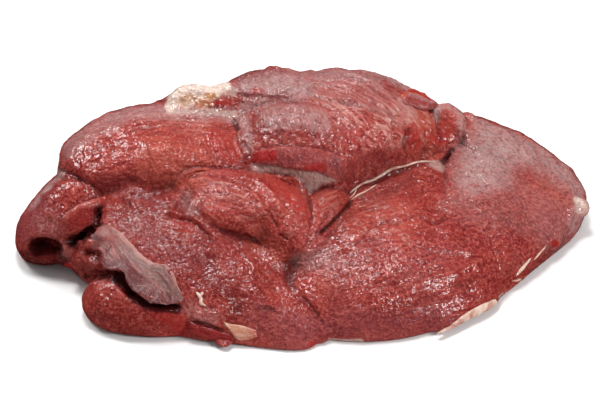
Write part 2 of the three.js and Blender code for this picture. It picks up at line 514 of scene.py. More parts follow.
def build(points, radius, lift=0.0, soft=2.0):
    # a rounded cord of meat laid along a stroke, its middle lifted off the surface
    places, normals = stroke(points)
    if len(places) == 0:
        return
    taper = endTaper(len(places), 0.45) if len(places) > 1 else np.ones(1)
    box, low = stamp(places + normals * lift, radius * taper)
    part = boxSlices(box, low)
    body[part] = smoothMin(body[part], box, soft)


# Lobes, lips and ragged ends, laid on before the slits are cut. Their paths are in dots of the picture frame.
lobes = [
    dict(points=[(403, 97), (410, 95), (417, 96), (424, 100), (432, 105)], radius=2.6, lift=0.0),
    dict(points=[(450, 112), (452, 126), (450, 142)], radius=8.0, lift=-5.0, soft=3.0),
    dict(points=[(436, 104), (444, 105), (452, 110), (460, 115)], radius=3.2, lift=-0.6),
    dict(points=[(460, 116), (463, 124), (459, 136)], radius=2.2, lift=0.0),
    dict(points=[(463, 116), (472, 121)], radius=2.4, lift=0.2),
    dict(
        points=[(203, 206), (216, 215), (230, 222), (246, 226), (258, 232)], radius=6.0, lift=-3.9,
        soft=3.0,
    ),
    dict(points=[(262, 158), (290, 158), (322, 165), (345, 172)], radius=8.0, lift=-6.0, soft=5.0),
    dict(points=[(262, 124), (290, 118), (318, 122)], radius=13.0, lift=-10.2, soft=6.0),
    dict(points=[(158, 162), (172, 168), (186, 162)], radius=14.0, lift=-11.4, soft=6.0),
    dict(points=[(66, 247), (74, 251)], radius=4.0, lift=0.0),
    dict(points=[(63, 258), (71, 264)], radius=3.4, lift=-0.2),
    dict(points=[(80, 247), (88, 244), (96, 246)], radius=4.4, lift=0.4),
    dict(points=[(80, 262), (90, 259), (101, 266)], radius=5.0, lift=0.6),
    dict(points=[(84, 272), (95, 273)], radius=3.4, lift=0.2),
    dict(points=[(64, 234), (65, 225), (71, 217), (79, 210), (89, 205), (99, 202)], radius=2.6, lift=0.2),
    dict(points=[(103, 200), (112, 199), (120, 203)], radius=5.0, lift=-2.2),
    dict(points=[(317, 352), (322, 344), (325, 333), (321, 321)], radius=3.0, lift=-1.2),
    dict(points=[(577, 202), (583, 206), (582, 212)], radius=3.4, lift=0.0),
    dict(points=[(264, 71), (271, 68), (280, 69)], radius=2.6, lift=-0.8),
    dict(points=[(172, 99), (186, 93), (204, 91)], radius=6.0, lift=-1.6, soft=3.0),
    dict(points=[(206, 96), (222, 90), (238, 88)], radius=5.0, lift=-2.0, soft=3.0),
    dict(points=[(150, 298), (155, 301)], radius=2.6, lift=0.4),
    dict(points=[(104, 191), (116, 189), (128, 192), (138, 196)], radius=9.0, lift=-5.0, soft=4.0),
    dict(
        points=[(436, 325), (452, 318), (470, 308), (486, 300), (497, 294)], radius=7.0, lift=-2.6,
        soft=4.0,
    ),
]

# Deep openings: width is half the opening, depth how far it goes in.
slits = [
    dict(
        points=[
            (84, 277), (97, 275), (107, 274), (115, 276), (123, 282), (131, 291), (140, 299), (152, 304),
            (166, 306), (180, 306),
        ],
        width=1.6, depth=11, lean=(0.2, 0.2, 0.45),
    ),
    dict(
        points=[(112, 275), (121, 280), (128, 288), (134, 295)], width=3.4, depth=12,
        lean=(0.25, 0.3, 0.35),
    ),
    dict(points=[(98, 227), (92, 231), (84, 236), (76, 241)], width=3.1, depth=13, lean=(0.3, 0.2, 0)),
    dict(points=[(99, 208), (99, 216), (97, 224)], width=1.5, depth=6),
    dict(points=[(452, 152), (449, 156), (445, 160)], width=1.2, depth=3.0),
    dict(
        points=[(30, 252), (38, 248), (48, 247), (60, 250)], width=5.2, depth=18, lean=(0.15, 0.9, 0.05),
        soft=2.2,
    ),
]

print("carving")
for settings in lobes:
    build(**settings)
for settings in slits:
    carve(**settings)

# Below the resting surface everything is cut off, with a soft lower edge.
height = (np.arange(gridLow[2], gridHigh[2]) * voxel).astype(np.float32)
body = smoothMax(body, -np.broadcast_to(height, shape), volume["lowerEdge"])


def outerShell(points, quads):
    # tiny closed bubbles inside the flesh are dropped
    shell = np.arange(len(points))
    while True:
        lowest = shell[quads].min(axis=1)
        joined = shell.copy()
        for corner in range(4):
            np.minimum.at(joined, quads[:, corner], lowest)
        joined = joined[joined]
        if (joined == shell).all():
            break
        shell = joined
    keep = shell[quads[:, 0]] == np.bincount(shell).argmax()
    used, corners = np.unique(quads[keep], return_inverse=True)
    return points[used], corners.reshape(-1, 4)


points, quads = outerShell(*fieldMesh(body))
points = points.astype(float)
print("mesh", len(points), "points")


def blurred(field, reach):
    # mean over a box of the grid, reach millimetres to either side
    n = max(1, int(round(reach / voxel)))
    for axis in range(3):
        turned = np.moveaxis(field, axis, 0)
        total = np.cumsum(np.pad(turned, ((n + 1, n), (0, 0), (0, 0)), "edge"), axis=0, dtype=np.float32)
        field = np.moveaxis((total[2 * n + 1:] - total[:-2 * n - 1]) / (2 * n + 1), 0, axis)
    return field


def sampleField(field, points):
    place = points / voxel - gridLow
    cell = np.clip(np.floor(place).astype(int), 0, np.array(field.shape) - 2)
    part = place - cell
    total = np.zeros(len(points))
    for corner in range(8):
        step = np.array([corner & 1, corner >> 1 & 1, corner >> 2])
        weight = np.where(step, part, 1 - part).prod(axis=1)
        at = cell + step
        total += weight * field[at[:, 0], at[:, 1], at[:, 2]]
    return total


# How sunken each point is, which the material paints as shade in hollows and as light on crests: above
# nothing in hollows, below nothing on crests. Each row is how far it looks round the point, the depth that
# counts as full, and its share.
hollowScales = [(1.8, 1.1, 0.5), (5.5, 2.8, 0.4)]
hollowShade = sum(share * np.clip(-sampleField(blurred(body, reach), points) / deepest, -0.6, 1)
             for reach, deepest, share in hollowScales)


def makeMesh(name, points, faces):
    mesh = bpy.data.meshes.new(name)
    mesh.vertices.add(len(points))
    mesh.vertices.foreach_set("co", (np.asarray(points) * toMetres).astype(np.float32).ravel())
    mesh.loops.add(faces.size)
    mesh.loops.foreach_set("vertex_index", faces.astype(np.int32).ravel())
    mesh.polygons.add(len(faces))
    mesh.polygons.foreach_set("loop_start", np.arange(0, faces.size, faces.shape[1], dtype=np.int32))
    mesh.update(calc_edges=True)
    mesh.validate()
    mesh.polygons.foreach_set("use_smooth", np.ones(len(mesh.polygons), bool))
    return mesh


def pointNormals(points, quads):
    # the cross product of a face's diagonals, summed at its corners
    one = np.cross(points[quads[:, 2]] - points[quads[:, 0]], points[quads[:, 3]] - points[quads[:, 1]])
    total = np.zeros_like(points)
    for corner in range(quads.shape[1]):
        for axis in range(3):
            total[:, axis] += np.bincount(quads[:, corner], one[:, axis], len(points))
    return total / np.maximum(np.linalg.norm(total, axis=1, keepdims=True), 1e-9)


normals = pointNormals(points, quads)
if ((points - points.mean(axis=0)) * normals).sum() < 0:
    quads = quads[:, ::-1]
    normals = -normals


def sampleBox(box, low, points):
    index = np.round(points / voxel).astype(int) - low
    inside = ((index >= 0) & (index < box.shape)).all(axis=1)
    index = np.clip(index, 0, np.array(box.shape) - 1)
    return np.where(inside, box[index[:, 0], index[:, 1], index[:, 2]], band)


# How much of each muscle there is at each point; they fade into each other over muscleBlend millimetres.
muscleBlend = 1.6
weights = {name: np.exp(-sampleBox(box, low, points) / muscleBlend)
           for name, (box, low) in muscleBoxes.items()}
total = sum(weights.values())
weights = {name: w / total for name, w in weights.items()}
del muscleBoxes
names = list(muscles)
owner = np.argmax(np.stack([weights[name] for name in names]), axis=0)

# The grain runs along each muscle; on the crown it fans out from a point at its back.
fan = dict(pivot=(-16.0, 58.0), squash=0.7, reach=46, names=("dome", "crest"))
fibre = dict(pitch=1.9, length=22.0, wanderSize=26, wander=0.25, bendSize=30, bend=3.0)


def threeNoises(size, seed):
    return np.stack([layeredNoise(points, size, 2, seed + i) for i in range(3)], axis=1)


def grainAxis(name):
    heading, dip = (math.radians(a) for a in muscles[name]["grain"])
    return np.array([math.cos(heading) * math.cos(dip), math.sin(heading) * math.cos(dip), math.sin(dip)])


def grainWay(points):
    total = np.zeros_like(points)
    for name in names:
        if name in fan["names"]:
            away = points[:, :2] - fan["pivot"]
            way = np.stack([away[:, 0], away[:, 1] * fan["squash"], np.zeros(len(points))], axis=1)
            way /= np.linalg.norm(way, axis=1, keepdims=True) + 1e-6
        else:
            way = grainAxis(name)
        total += weights[name][:, None] * way
    total += fibre["wander"] * threeNoises(fibre["wanderSize"], 40)
    total -= normals * (total * normals).sum(axis=1, keepdims=True)
    return total / (np.linalg.norm(total, axis=1, keepdims=True) + 1e-6)


def combed(points, way, size, length, seed):
    # noise drawn out along the grain
    steps = np.arange(-length / 2, length / 2 + 0.1, size * 1.1)
    return sum(gradientNoise((points + way * step) / size, seed) for step in steps) / math.sqrt(len(steps))


def grainPoints(name, points):
    # points squeezed so that one unit is a fibre's width across the grain and its length along it
    if name in fan["names"]:
        away = points[:, :2] - np.array(fan["pivot"])
        reach = np.hypot(away[:, 0], away[:, 1] * fan["squash"]) + 1e-6
        angle = np.arctan2(away[:, 1], away[:, 0])
        return np.stack([reach / fibre["length"], angle * fan["reach"] / fibre["pitch"],
                         points[:, 2] * 0.35 / fibre["pitch"]], axis=1)
    along = grainAxis(name)
    stretch = 1 / fibre["length"] - 1 / fibre["pitch"]
    return points / fibre["pitch"] + np.outer(points @ along * stretch, along)


print("grain")
way = grainWay(points)
bend = threeNoises(fibre["bendSize"], 40) * fibre["bend"]
grain = np.zeros_like(points)
for i, name in enumerate(names):
    mine = np.nonzero(owner == i)[0]
    grain[mine] = grainPoints(name, points[mine] + bend[mine])

fibreStrength = {"dome": 1.3, "crest": 1.5, "upperLeft": 0.9, "foldLip": 0.6, "blade": 1.0, "frontSlab": 0.7,
                 "wedge": 0.8, "leftRoll": 0.3, "fatLump": 0.3, "frontTip": 0.5}
strength = sum(weights[name] * fibreStrength.get(name, 0.8) for name in names)

# Relief in millimetres. Lumps: size, height, seed. Fibres: width, length, height, seed. Wander moves points
# every way; it and the rest fade out over the lowest millimetres, which lie flat.
relief = dict(
    lumps=[(26, 1.0, 1), (9, 0.55, 5), (3.0, 0.28, 9)],
    fibres=[(1.7, 14, 0.12, 21), (2.8, 20, 0.12, 22), (6.0, 30, 0.15, 23)],
    wanderSize=13, wander=0.9, flatFrom=0.3, flatTo=4.0)
lift = np.zeros(len(points))
for size, height, seed in relief["lumps"]:
    lift += height * layeredNoise(points, size, 2, seed)
for size, length, height, seed in relief["fibres"]:
    lift += height * strength * combed(points, way, size, length, seed)


# What a view sees of the mesh. Strokes are then followed in the picture frame of that view.
class Sight:
    cell = 2.5  # dots of the picture frame
    cells = 402  # along a side of the frame, with room round it
    slack = 8.0  # millimetres behind the nearest point

    def __init__(self, view):
        ahead = viewAxes(view)[0]
        self.dot = dotSize(view)
        self.spots = pictureSpot(points, view)
        depths = points @ ahead
        index = np.clip((self.spots / self.cell).astype(int) + 2, 1, self.cells - 2)
        flat = index[:, 0] * self.cells + index[:, 1]
        nearest = np.full(self.cells**2, 1e9)
        facing = -(normals @ ahead) > 0.0
        np.minimum.at(nearest, flat[facing], depths[facing])
        nearest = nearest.reshape(self.cells, self.cells)
        for axis in (0, 1):
            nearest = np.minimum(nearest, np.minimum(np.roll(nearest, 1, axis), np.roll(nearest, -1, axis)))
        seen = (-(normals @ ahead) > -0.2) & (depths < nearest.ravel()[flat] + self.slack)
        self.which = np.nonzero(seen)[0]
        self.spots = self.spots[seen]


def follow(sight, path, reach, over=None):
    # mesh points within reach millimetres of a stroke: which, how far, on which side, and how far along it
    path = evenPath(path, 5)
    edge = reach / sight.dot
    low, high = path.min(axis=0) - edge, path.max(axis=0) + edge
    some = np.nonzero(((sight.spots > low) & (sight.spots < high)).all(axis=1))[0]
    spots = sight.spots[some]
    best, side, share = np.full(len(some), 1e9), np.ones(len(some)), np.full(len(some), 0.5)
    if len(path) == 1:
        best = np.linalg.norm(spots - path[0], axis=1)
    overBest, overSide = 1e9, 1.0
    for i, (a, b) in enumerate(zip(path[:-1], path[1:])):
        run = b - a
        t = np.clip((spots - a) @ run / (run @ run), 0, 1)
        off = spots - a - t[:, None] * run
        distance = np.linalg.norm(off, axis=1)
        closer = distance < best
        best[closer] = distance[closer]
        side[closer] = np.sign(run[0] * off[:, 1] - run[1] * off[:, 0])[closer]
        share[closer] = ((i + t) / (len(path) - 1))[closer]
        if over is not None:
            t = np.clip((np.array(over) - a) @ run / (run @ run), 0, 1)
            off = np.array(over) - a - t * run
            if np.linalg.norm(off) < overBest:
                overBest, overSide = np.linalg.norm(off), np.sign(run[0] * off[1] - run[1] * off[0])
    best = best * sight.dot
    keep = best < reach
    return sight.which[some[keep]], best[keep], (side * overSide)[keep], share[keep]


def ends(share):
    # a stroke dies away at both ends
    return smoothStep(np.minimum(share, 1 - share), -0.01, 0.16)


def swell(sight, path, width, rise):
    # a low ridge, or a dent where rise is below nothing, which gets painted shade
    some, distance, _, share = follow(sight, path, width * 2.6)
    shape = rise * np.exp(-((distance / width) ** 2)) * (ends(share) if len(path) > 1 else 1)
    lift[some] += shape
    hollowShade[some] -= 0.25 * np.minimum(shape, 0)


def crease(sight, path, width, depth, dark=0.4):
    # a narrow furrow with painted shade at its bottom
    some, distance, _, share = follow(sight, path, width * 3.5)
    uneven = 1 + 0.5 * layeredNoise(points[some], 7, 2, 61)
    lift[some] -= depth * np.exp(-((distance / width) ** 1.4)) * ends(share) * uneven
    hollowShade[some] += dark * np.exp(-((distance / width / 1.1) ** 2)) * ends(share) * uneven


def overlap(sight, path, over, rise, reach):
    # an edge that stands proud on the side where the over point lies, with painted shadow below it and a
    # paler painted rim
    some, distance, side, share = follow(sight, path, reach * 2.2, over)
    signed = distance * side + 0.8 * layeredNoise(points[some], 5, 2, 62)
    shape = smoothStep(signed, -0.5, 0.7) * np.exp(-((np.maximum(signed, 0) / reach) ** 2)) * ends(share)
    shadow = np.exp(-(((signed + 1.0) / 1.0) ** 2)) * ends(share)
    lift[some] += rise * shape - 0.4 * rise * shadow
    rim = shape * np.exp(-((signed / 1.5) ** 2))
    hollowShade[some] += min(rise, 1.5) * (0.35 * shadow - 0.2 * rim)


def sheaf(sight, first, last, count, width, rise, seed=3, tint=0.0):
    # fibres between two strokes that have the same number of points, with a furrow beside each that gets
    # painted shade
    rng = np.random.default_rng(seed)
    first, last = np.array(first, float), np.array(last, float)
    for i in range(count):
        share = (i + rng.uniform(-0.28, 0.28)) / max(count - 1, 1)
        path = first + (last - first) * share + rng.normal(0, 0.6, first.shape)
        furrow = path + (last - first) * 0.5 / max(count - 1, 1)
        start, stop = rng.uniform(0, 0.22), rng.uniform(0.78, 1)
        power = rng.uniform(0.5, 1.3)
        for line, amount in ((path, 1.0), (furrow, -0.6)):
            line = curvePoints(line, np.linspace(start, stop, 9))
            some, distance, _, along = follow(sight, line, width * 2.6)
            shape = np.exp(-((distance / width) ** 2)) * ends(along) * power * amount
            lift[some] += rise * shape
            hollowShade[some] -= 0.2 * rise * np.minimum(shape, 0)
            if amount > 0:
                paint["sinew"][some] = np.maximum(paint["sinew"][some], tint * shape)


def pebble(sight, centre, radius, size, amount, seed=5):
    # a knobbly patch: centre and radius in dots of the picture frame, the rest in millimetres
    some, distance, _, _ = follow(sight, [centre], radius * sight.dot)
    fade = 1 - smoothStep(distance, radius * sight.dot * 0.45, radius * sight.dot)
    lift[some] += amount * fade * layeredNoise(points[some], size, 2, seed)


# Paint layers. Three of them paint light and shade: a sheen on the grey-pink membrane, shade in crevices
# under the blood colour, and shade where less light falls.
paint = {name: np.zeros(len(points)) for name in (
    "fat", "amber", "skin", "bloodAndShade", "bloom", "bright", "sinew", "dusk", "calm", "glaze", "rosy", "lilac")}


def brush(sight, layer, path, radius, amount, soft=0.5, wild=0.35):
    # a stroke of paint: soft is the share of its radius that fades, wild how ragged its edge is
    some, distance, _, _ = follow(sight, path, radius * (1 + wild))
    ragged = layeredNoise(points[some], 6.0 + 12.0 * (wild > 0.5), 3, 77) * radius * wild
    value = amount * (1 - smoothStep(distance + ragged, radius * (1 - soft), radius))
    paint[layer][some] = np.maximum(paint[layer][some], value)


def dab(sight, layer, spot, radius, amount):
    # a round patch that goes on where the view no longer sees
    nearest = sight.which[np.argmin(np.linalg.norm(sight.spots - spot, axis=1))]
    ragged = layeredNoise(points, 6.0, 3, 79) * radius * 0.35
    distance = np.linalg.norm(points - points[nearest], axis=1) + ragged
    paint[layer] = np.maximum(paint[layer], amount * (1 - smoothStep(distance, radius * 0.6, radius)))


def wash(sight, layer, outline, feather, amount):
    # everything inside an outline, fading over feather millimetres at its edge
    outline = np.array(outline, float)
    some, distance, _, _ = follow(sight, list(outline) + [outline[0]], 200.0)
    place = np.full(len(points), -1)
    place[sight.which] = np.arange(len(sight.which))
    spots = sight.spots[place[some]]
    inside = np.zeros(len(some), bool)
    for a, b in zip(outline, np.roll(outline, -1, axis=0)):
        crosses = (a[1] > spots[:, 1]) != (b[1] > spots[:, 1])
        edge = a[0] + (b[0] - a[0]) * (spots[:, 1] - a[1]) / (b[1] - a[1] + 1e-9)
        inside ^= crosses & (spots[:, 0] < edge)
    signed = np.where(inside, distance, -distance) + layeredNoise(points[some], 7.0, 3, 78) * feather * 0.4
    value = amount * smoothStep(signed, -feather * 0.5, feather)
    paint[layer][some] = np.maximum(paint[layer][some], value)


front = Sight(frontView)
back = Sight(backView)

# All paths from here on are in dots of the picture frame. Creases: path, half width, depth in millimetres.
creases = [
    ([(55, 168), (62, 171), (70, 174), (80, 179), (90, 184), (98, 188)], 1.0, 2.0),
    ([(126, 192), (134, 195), (142, 197), (150, 196), (160, 192), (170, 188), (178, 181)], 1.8, 0.9),
    (
        [(193, 207), (198, 212), (203, 217), (216, 227), (228, 232), (240, 235), (251, 238), (260, 243)],
        1.4, 0.9,
    ),
    ([(240, 235), (252, 239), (262, 244), (270, 251)], 1.0, 0.8),
    ([(268, 208), (272, 218), (278, 230)], 0.9, 1.5), ([(278, 233), (283, 238), (289, 241)], 0.9, 1.2),
    ([(308, 193), (310, 205), (312, 216), (311, 228)], 0.9, 1.3),
    ([(309, 194), (315, 190), (324, 187), (338, 186)], 1.2, 0.6),
    ([(352, 200), (345, 208), (338, 217), (330, 226), (320, 233)], 1.0, 2.2),
    ([(330, 226), (320, 233), (311, 241), (308, 250)], 1.4, 1.4),
    ([(363, 188), (378, 181), (392, 174), (405, 170), (420, 165), (436, 162), (446, 158)], 1.0, 0.8),
    ([(302, 256), (292, 262), (288, 272), (291, 285), (299, 294)], 2.6, 0.7),
    ([(296, 292), (304, 300), (311, 307), (317, 316), (324, 327), (328, 339)], 1.2, 1.6),
    ([(261, 308), (271, 308), (282, 315)], 1.0, 0.9), ([(257, 309), (256, 322), (262, 336)], 0.9, 0.7),
    ([(444, 160), (442, 168), (446, 177), (444, 187), (447, 198)], 1.5, 0.8),
    ([(240, 140), (247, 149), (251, 159)], 1.1, 1.0),
    ([(410, 129), (406, 135), (404, 142), (403, 148)], 1.6, 1.2),
    ([(431, 104), (431, 108), (432, 112)], 1.1, 1.6), ([(233, 120), (236, 125), (238, 130)], 1.2, 1.3),
    ([(436, 108), (439, 122), (441, 134), (444, 146)], 1.1, 1.2),
    ([(420, 160), (424, 148), (430, 152)], 1.2, 0.9), ([(303, 341), (308, 338)], 1.2, 1.2),
    ([(76, 246), (84, 252), (96, 254)], 1.2, 1.6), ([(76, 262), (78, 254), (74, 246)], 1.1, 1.4),
    ([(60, 242), (60, 252), (62, 262)], 1.1, 1.2), ([(372, 228), (388, 222), (400, 226)], 1.1, 0.6),
    ([(352, 246), (366, 240), (380, 241)], 1.2, 0.6), ([(424, 218), (436, 222), (448, 216)], 1.2, 0.6),
]

# Lips: path of an edge, a point on the side that stands proud, its rise, how far it reaches.
lips = [
    (
        [
            (172, 187), (178, 178), (186, 172), (198, 168), (214, 170), (232, 171), (250, 173), (262, 176),
            (280, 176), (295, 177), (303, 184), (306, 195), (308, 208),
        ],
        (240, 195), 1.6, 7,
    ),
    (
        [
            (180, 186), (192, 180), (210, 179), (225, 182), (240, 186), (252, 190), (262, 200), (272, 212),
            (280, 225),
        ],
        (230, 200), 1.1, 4,
    ),
    (
        [(190, 174), (215, 173), (240, 176), (255, 180), (266, 187), (277, 197), (285, 209), (291, 222)],
        (262, 200), 0.9, 3,
    ),
    (
        [(160, 216), (172, 216), (182, 217), (193, 221), (203, 228), (211, 238), (217, 250)], (205, 215),
        1.4, 6,
    ),
    (
        [(254, 153), (263, 150), (280, 147), (300, 147), (318, 150), (335, 154), (350, 160)], (300, 158),
        1.4, 7,
    ),
    ([(252, 163), (268, 165), (285, 168), (300, 170), (320, 172), (338, 182)], (300, 160), 1.1, 5),
    (
        [(228, 93), (245, 95), (262, 96), (282, 98), (298, 99), (314, 102), (330, 108), (345, 118)],
        (280, 90), 0.8, 6,
    ),
    ([(243, 116), (252, 110), (262, 106), (278, 105), (292, 105), (310, 108)], (280, 120), 1.0, 7),
    ([(300, 70), (318, 72), (336, 76), (352, 82), (368, 89)], (330, 90), 1.3, 5),
    ([(335, 67), (350, 72), (366, 79), (382, 89)], (345, 85), 1.0, 4),
    ([(322, 82), (311, 87), (313, 95), (326, 99), (345, 102), (362, 105)], (335, 90), 1.5, 6),
    ([(345, 108), (360, 108), (380, 113), (398, 122)], (370, 120), 1.0, 5),
    ([(519, 167), (532, 170), (550, 179), (562, 188), (571, 198)], (540, 160), 0.7, 6),
    ([(571, 176), (574, 192), (575, 210), (570, 228), (560, 246), (545, 262)], (540, 210), 0.7, 5),
    ([(40, 195), (50, 190), (61, 187)], (45, 205), 0.8, 3),
    ([(60, 241), (57, 248), (57, 256), (60, 262)], (66, 252), 1.4, 4),
    ([(343, 200), (352, 194), (366, 188), (380, 183)], (375, 195), 0.8, 4),
    ([(190, 318), (202, 321), (216, 326), (226, 329)], (205, 305), 1.8, 6),
    ([(146, 140), (148, 152), (152, 166), (148, 182)], (170, 160), 0.9, 8),
    ([(112, 113), (135, 111), (165, 112), (200, 116), (232, 119)], (170, 135), 0.6, 5),
    ([(192, 133), (204, 131), (222, 130), (236, 131)], (215, 145), 0.7, 6),
    ([(462, 112), (464, 124), (461, 138), (455, 150)], (450, 130), 1.6, 6),
    ([(436, 104), (439, 118), (441, 132), (445, 146)], (452, 130), 0.9, 4),
]

# Swells: path of a low ridge or a dent, half width, rise.
swells = [
    ([(178, 200), (190, 206)], 7, -1.8), ([(212, 198), (230, 203), (246, 210)], 4.0, -0.9),
    ([(208, 252), (208, 270), (210, 288)], 5.0, -1.3), ([(194, 238), (195, 248), (193, 260)], 3.0, 0.9),
    ([(214, 276), (218, 286), (222, 296)], 2.6, 0.9), ([(232, 262), (246, 276), (252, 296)], 6.0, 0.8),
    ([(228, 292), (238, 302), (238, 315)], 5.0, -1.0), ([(315, 138)], 2.6, -1.3),
    ([(246, 118), (245, 128), (248, 138), (252, 150)], 2.6, -0.4),
    ([(352, 222), (372, 215), (392, 218)], 3.0, 0.8), ([(345, 240), (356, 232), (372, 229)], 2.6, 0.7),
    ([(360, 204), (378, 200), (398, 205)], 3.2, 0.6), ([(425, 212), (440, 210), (455, 220)], 5.0, -0.9),
    ([(336, 252), (345, 262), (340, 276)], 5.0, -0.9), ([(294, 262), (293, 272), (297, 284)], 6.0, -1.2),
    ([(400, 292), (430, 284), (462, 274), (485, 268)], 6.0, 1.0),
    ([(450, 322), (478, 306), (500, 290)], 4.0, -0.6),
    ([(548, 244), (536, 257), (522, 271), (510, 284)], 1.8, 0.9),
    ([(556, 250), (545, 262), (530, 276)], 2.2, -0.9), ([(550, 240), (558, 246)], 2.4, 1.0),
    ([(414, 102), (421, 104), (427, 107)], 2.2, -1.4), ([(412, 132), (416, 142)], 4.0, 0.9),
    ([(96, 158), (102, 168), (112, 176)], 4.0, -0.8), ([(130, 205), (150, 208)], 5.0, 0.7),
    ([(110, 222), (113, 234)], 4.0, 0.9), ([(38, 226), (48, 222), (57, 228)], 3.0, -0.8),
    ([(122, 300), (140, 312), (160, 316)], 5.0, -0.8), ([(92, 290), (100, 300)], 5.0, 0.8),
    ([(262, 120), (272, 132), (268, 142)], 5.0, -0.8), ([(330, 118), (345, 130), (350, 145)], 4.0, -0.7),
    ([(205, 140), (214, 152), (216, 166)], 4.0, -0.8), ([(62, 160), (84, 146), (100, 134)], 7.0, 0.7),
    ([(300, 318), (305, 330)], 5.0, 0.7), ([(275, 325), (285, 332)], 5.0, 0.7),
    ([(356, 300), (400, 310), (440, 300)], 6.0, -0.6), ([(520, 210), (530, 225), (520, 240)], 6.0, -0.7),
    ([(480, 220), (500, 214), (520, 216)], 5.0, 0.6), ([(470, 250), (495, 240)], 5.0, -0.6),
]

# Sheaves: first and last fibre, how many, half width, rise, seed, how pale.
sheaves = [
    (
        [(304, 84), (335, 78), (372, 88), (402, 100), (424, 112)],
        [(330, 128), (350, 126), (368, 133), (384, 142), (394, 155)], 15, 0.8, 0.75, 31, 1.0,
    ),
    (
        [(318, 70), (345, 70), (370, 80), (395, 92), (405, 97)],
        [(310, 84), (340, 80), (372, 90), (400, 101), (418, 108)], 6, 0.7, 0.7, 32, 0.6,
    ),
    (
        [(400, 112), (414, 113), (428, 122), (430, 140)], [(402, 128), (410, 128), (418, 136), (420, 150)],
        6, 0.6, 0.7, 43, 0.5,
    ),
    (
        [(182, 188), (200, 183), (222, 185), (246, 192), (264, 206), (276, 224)],
        [(196, 204), (208, 206), (224, 212), (240, 220), (254, 229), (266, 240)], 7, 0.9, 0.12, 33, 0.4,
    ),
    (
        [(266, 182), (280, 188), (294, 200), (300, 216), (300, 236)],
        [(262, 196), (272, 206), (282, 220), (288, 236), (288, 252)], 6, 0.8, 0.3, 34, 0.4,
    ),
    (
        [(112, 116), (150, 114), (190, 117), (232, 121)], [(120, 134), (152, 130), (192, 133), (234, 140)],
        8, 0.7, 0.35, 35, 0.4,
    ),
    (
        [(200, 132), (208, 144), (214, 158), (220, 168)], [(232, 128), (236, 140), (240, 154), (244, 166)],
        7, 0.8, 0.5, 36, 0.3,
    ),
    (
        [(316, 200), (324, 196), (334, 192), (346, 190)], [(314, 240), (322, 232), (332, 222), (344, 208)],
        7, 0.7, 0.5, 37, 0.3,
    ),
    (
        [(166, 226), (176, 236), (184, 250), (188, 268)], [(150, 236), (158, 246), (166, 256), (172, 264)],
        4, 0.8, 0.3, 38, 0.0,
    ),
    (
        [(40, 214), (41, 222), (40, 230), (38, 237)], [(58, 212), (57, 220), (56, 228), (55, 235)], 7, 0.6,
        0.3, 39, 0.5,
    ),
    (
        [(356, 214), (380, 205), (405, 203), (430, 206)], [(330, 262), (356, 252), (384, 246), (412, 246)],
        12, 0.8, 0.2, 40, 0.15,
    ),
    (
        [(376, 262), (410, 252), (445, 250), (480, 254)], [(370, 312), (410, 300), (450, 288), (490, 276)],
        12, 0.8, 0.15, 41, 0.1,
    ),
    (
        [(250, 112), (280, 108), (312, 112), (338, 122)], [(256, 146), (282, 143), (312, 144), (340, 150)],
        7, 0.9, 0.15, 42, 0.2,
    ),
]

# Knobbly patches: centre, radius, size of the knobs, how far they stand out.
pebbles = [
    ((432, 142), 22, 4.0, 1.5), ((412, 140), 12, 3.0, 0.9), ((447, 124), 16, 4.0, 0.9),
    ((140, 215), 30, 2.2, 0.4), ((115, 232), 16, 2.6, 0.5), ((190, 235), 34, 2.4, 0.4),
    ((268, 88), 34, 2.6, 0.5), ((300, 125), 45, 5.0, 0.6), ((85, 258), 26, 4.2, 1.5),
    ((66, 252), 12, 3.2, 0.9), ((120, 312), 46, 6.0, 0.9), ((105, 288), 22, 2.6, 0.6),
    ((110, 145), 46, 3.0, 0.5), ((88, 162), 30, 2.6, 0.5), ((245, 128), 14, 2.6, 0.7),
    ((195, 98), 26, 3.5, 1.5), ((285, 125), 40, 2.8, 0.6), ((410, 285), 60, 3.0, 0.35),
    ((480, 240), 60, 3.5, 0.4), ((375, 225), 40, 3.0, 0.5), ((170, 165), 30, 5.0, 0.6),
    ((215, 150), 26, 3.0, 0.5), ((500, 180), 60, 2.4, 0.3), ((212, 103), 14, 2.2, 1.4),
    ((420, 205), 40, 4.0, 0.5), ((500, 180), 60, 3.0, 0.25), ((332, 212), 22, 2.6, 0.6),
    ((300, 320), 40, 5.0, 0.5), ((560, 230), 30, 5.0, 0.8), ((380, 165), 26, 3.0, 0.6),
    ((320, 340), 14, 3.5, 0.8), ((240, 230), 40, 3.0, 0.35), ((350, 255), 40, 3.2, 0.4),
    ((250, 290), 36, 3.0, 0.4),
]
print("folds")
for path, width, depth in creases:
    crease(front, path, width, depth)
for path, over, rise, reach in lips:
    overlap(front, path, over, rise, reach)
for path, width, rise in swells:
    swell(front, path, width, rise)
for row in sheaves:
    sheaf(front, *row)
for row in pebbles:
    pebble(front, *row)

# The sides that the picture doesn't show are worked in the same way from behind.
backCreases = [
    (
        [(60, 250), (110, 232), (170, 226), (230, 230), (300, 236), (360, 240), (430, 246), (500, 252)],
        1.6, 1.6,
    ),
    ([(250, 180), (262, 200), (258, 222)], 1.3, 1.4), ([(340, 176), (352, 196), (346, 220)], 1.2, 1.2),
    ([(430, 190), (440, 212), (432, 236)], 1.2, 1.2), ([(120, 250), (128, 270), (120, 290)], 1.2, 1.0),
    ([(300, 244), (310, 262), (304, 282)], 1.2, 1.2), ([(470, 250), (476, 270), (468, 286)], 1.2, 1.0),
]
backLips = [
    ([(96, 236), (150, 222), (210, 214), (262, 214)], (180, 200), 1.3, 7),
    ([(280, 222), (340, 226), (400, 230), (452, 238)], (360, 212), 1.4, 7),
    ([(180, 246), (240, 252), (300, 262), (350, 272)], (260, 240), 0.9, 6),
    ([(400, 262), (440, 258), (490, 264)], (440, 250), 0.9, 5),
]
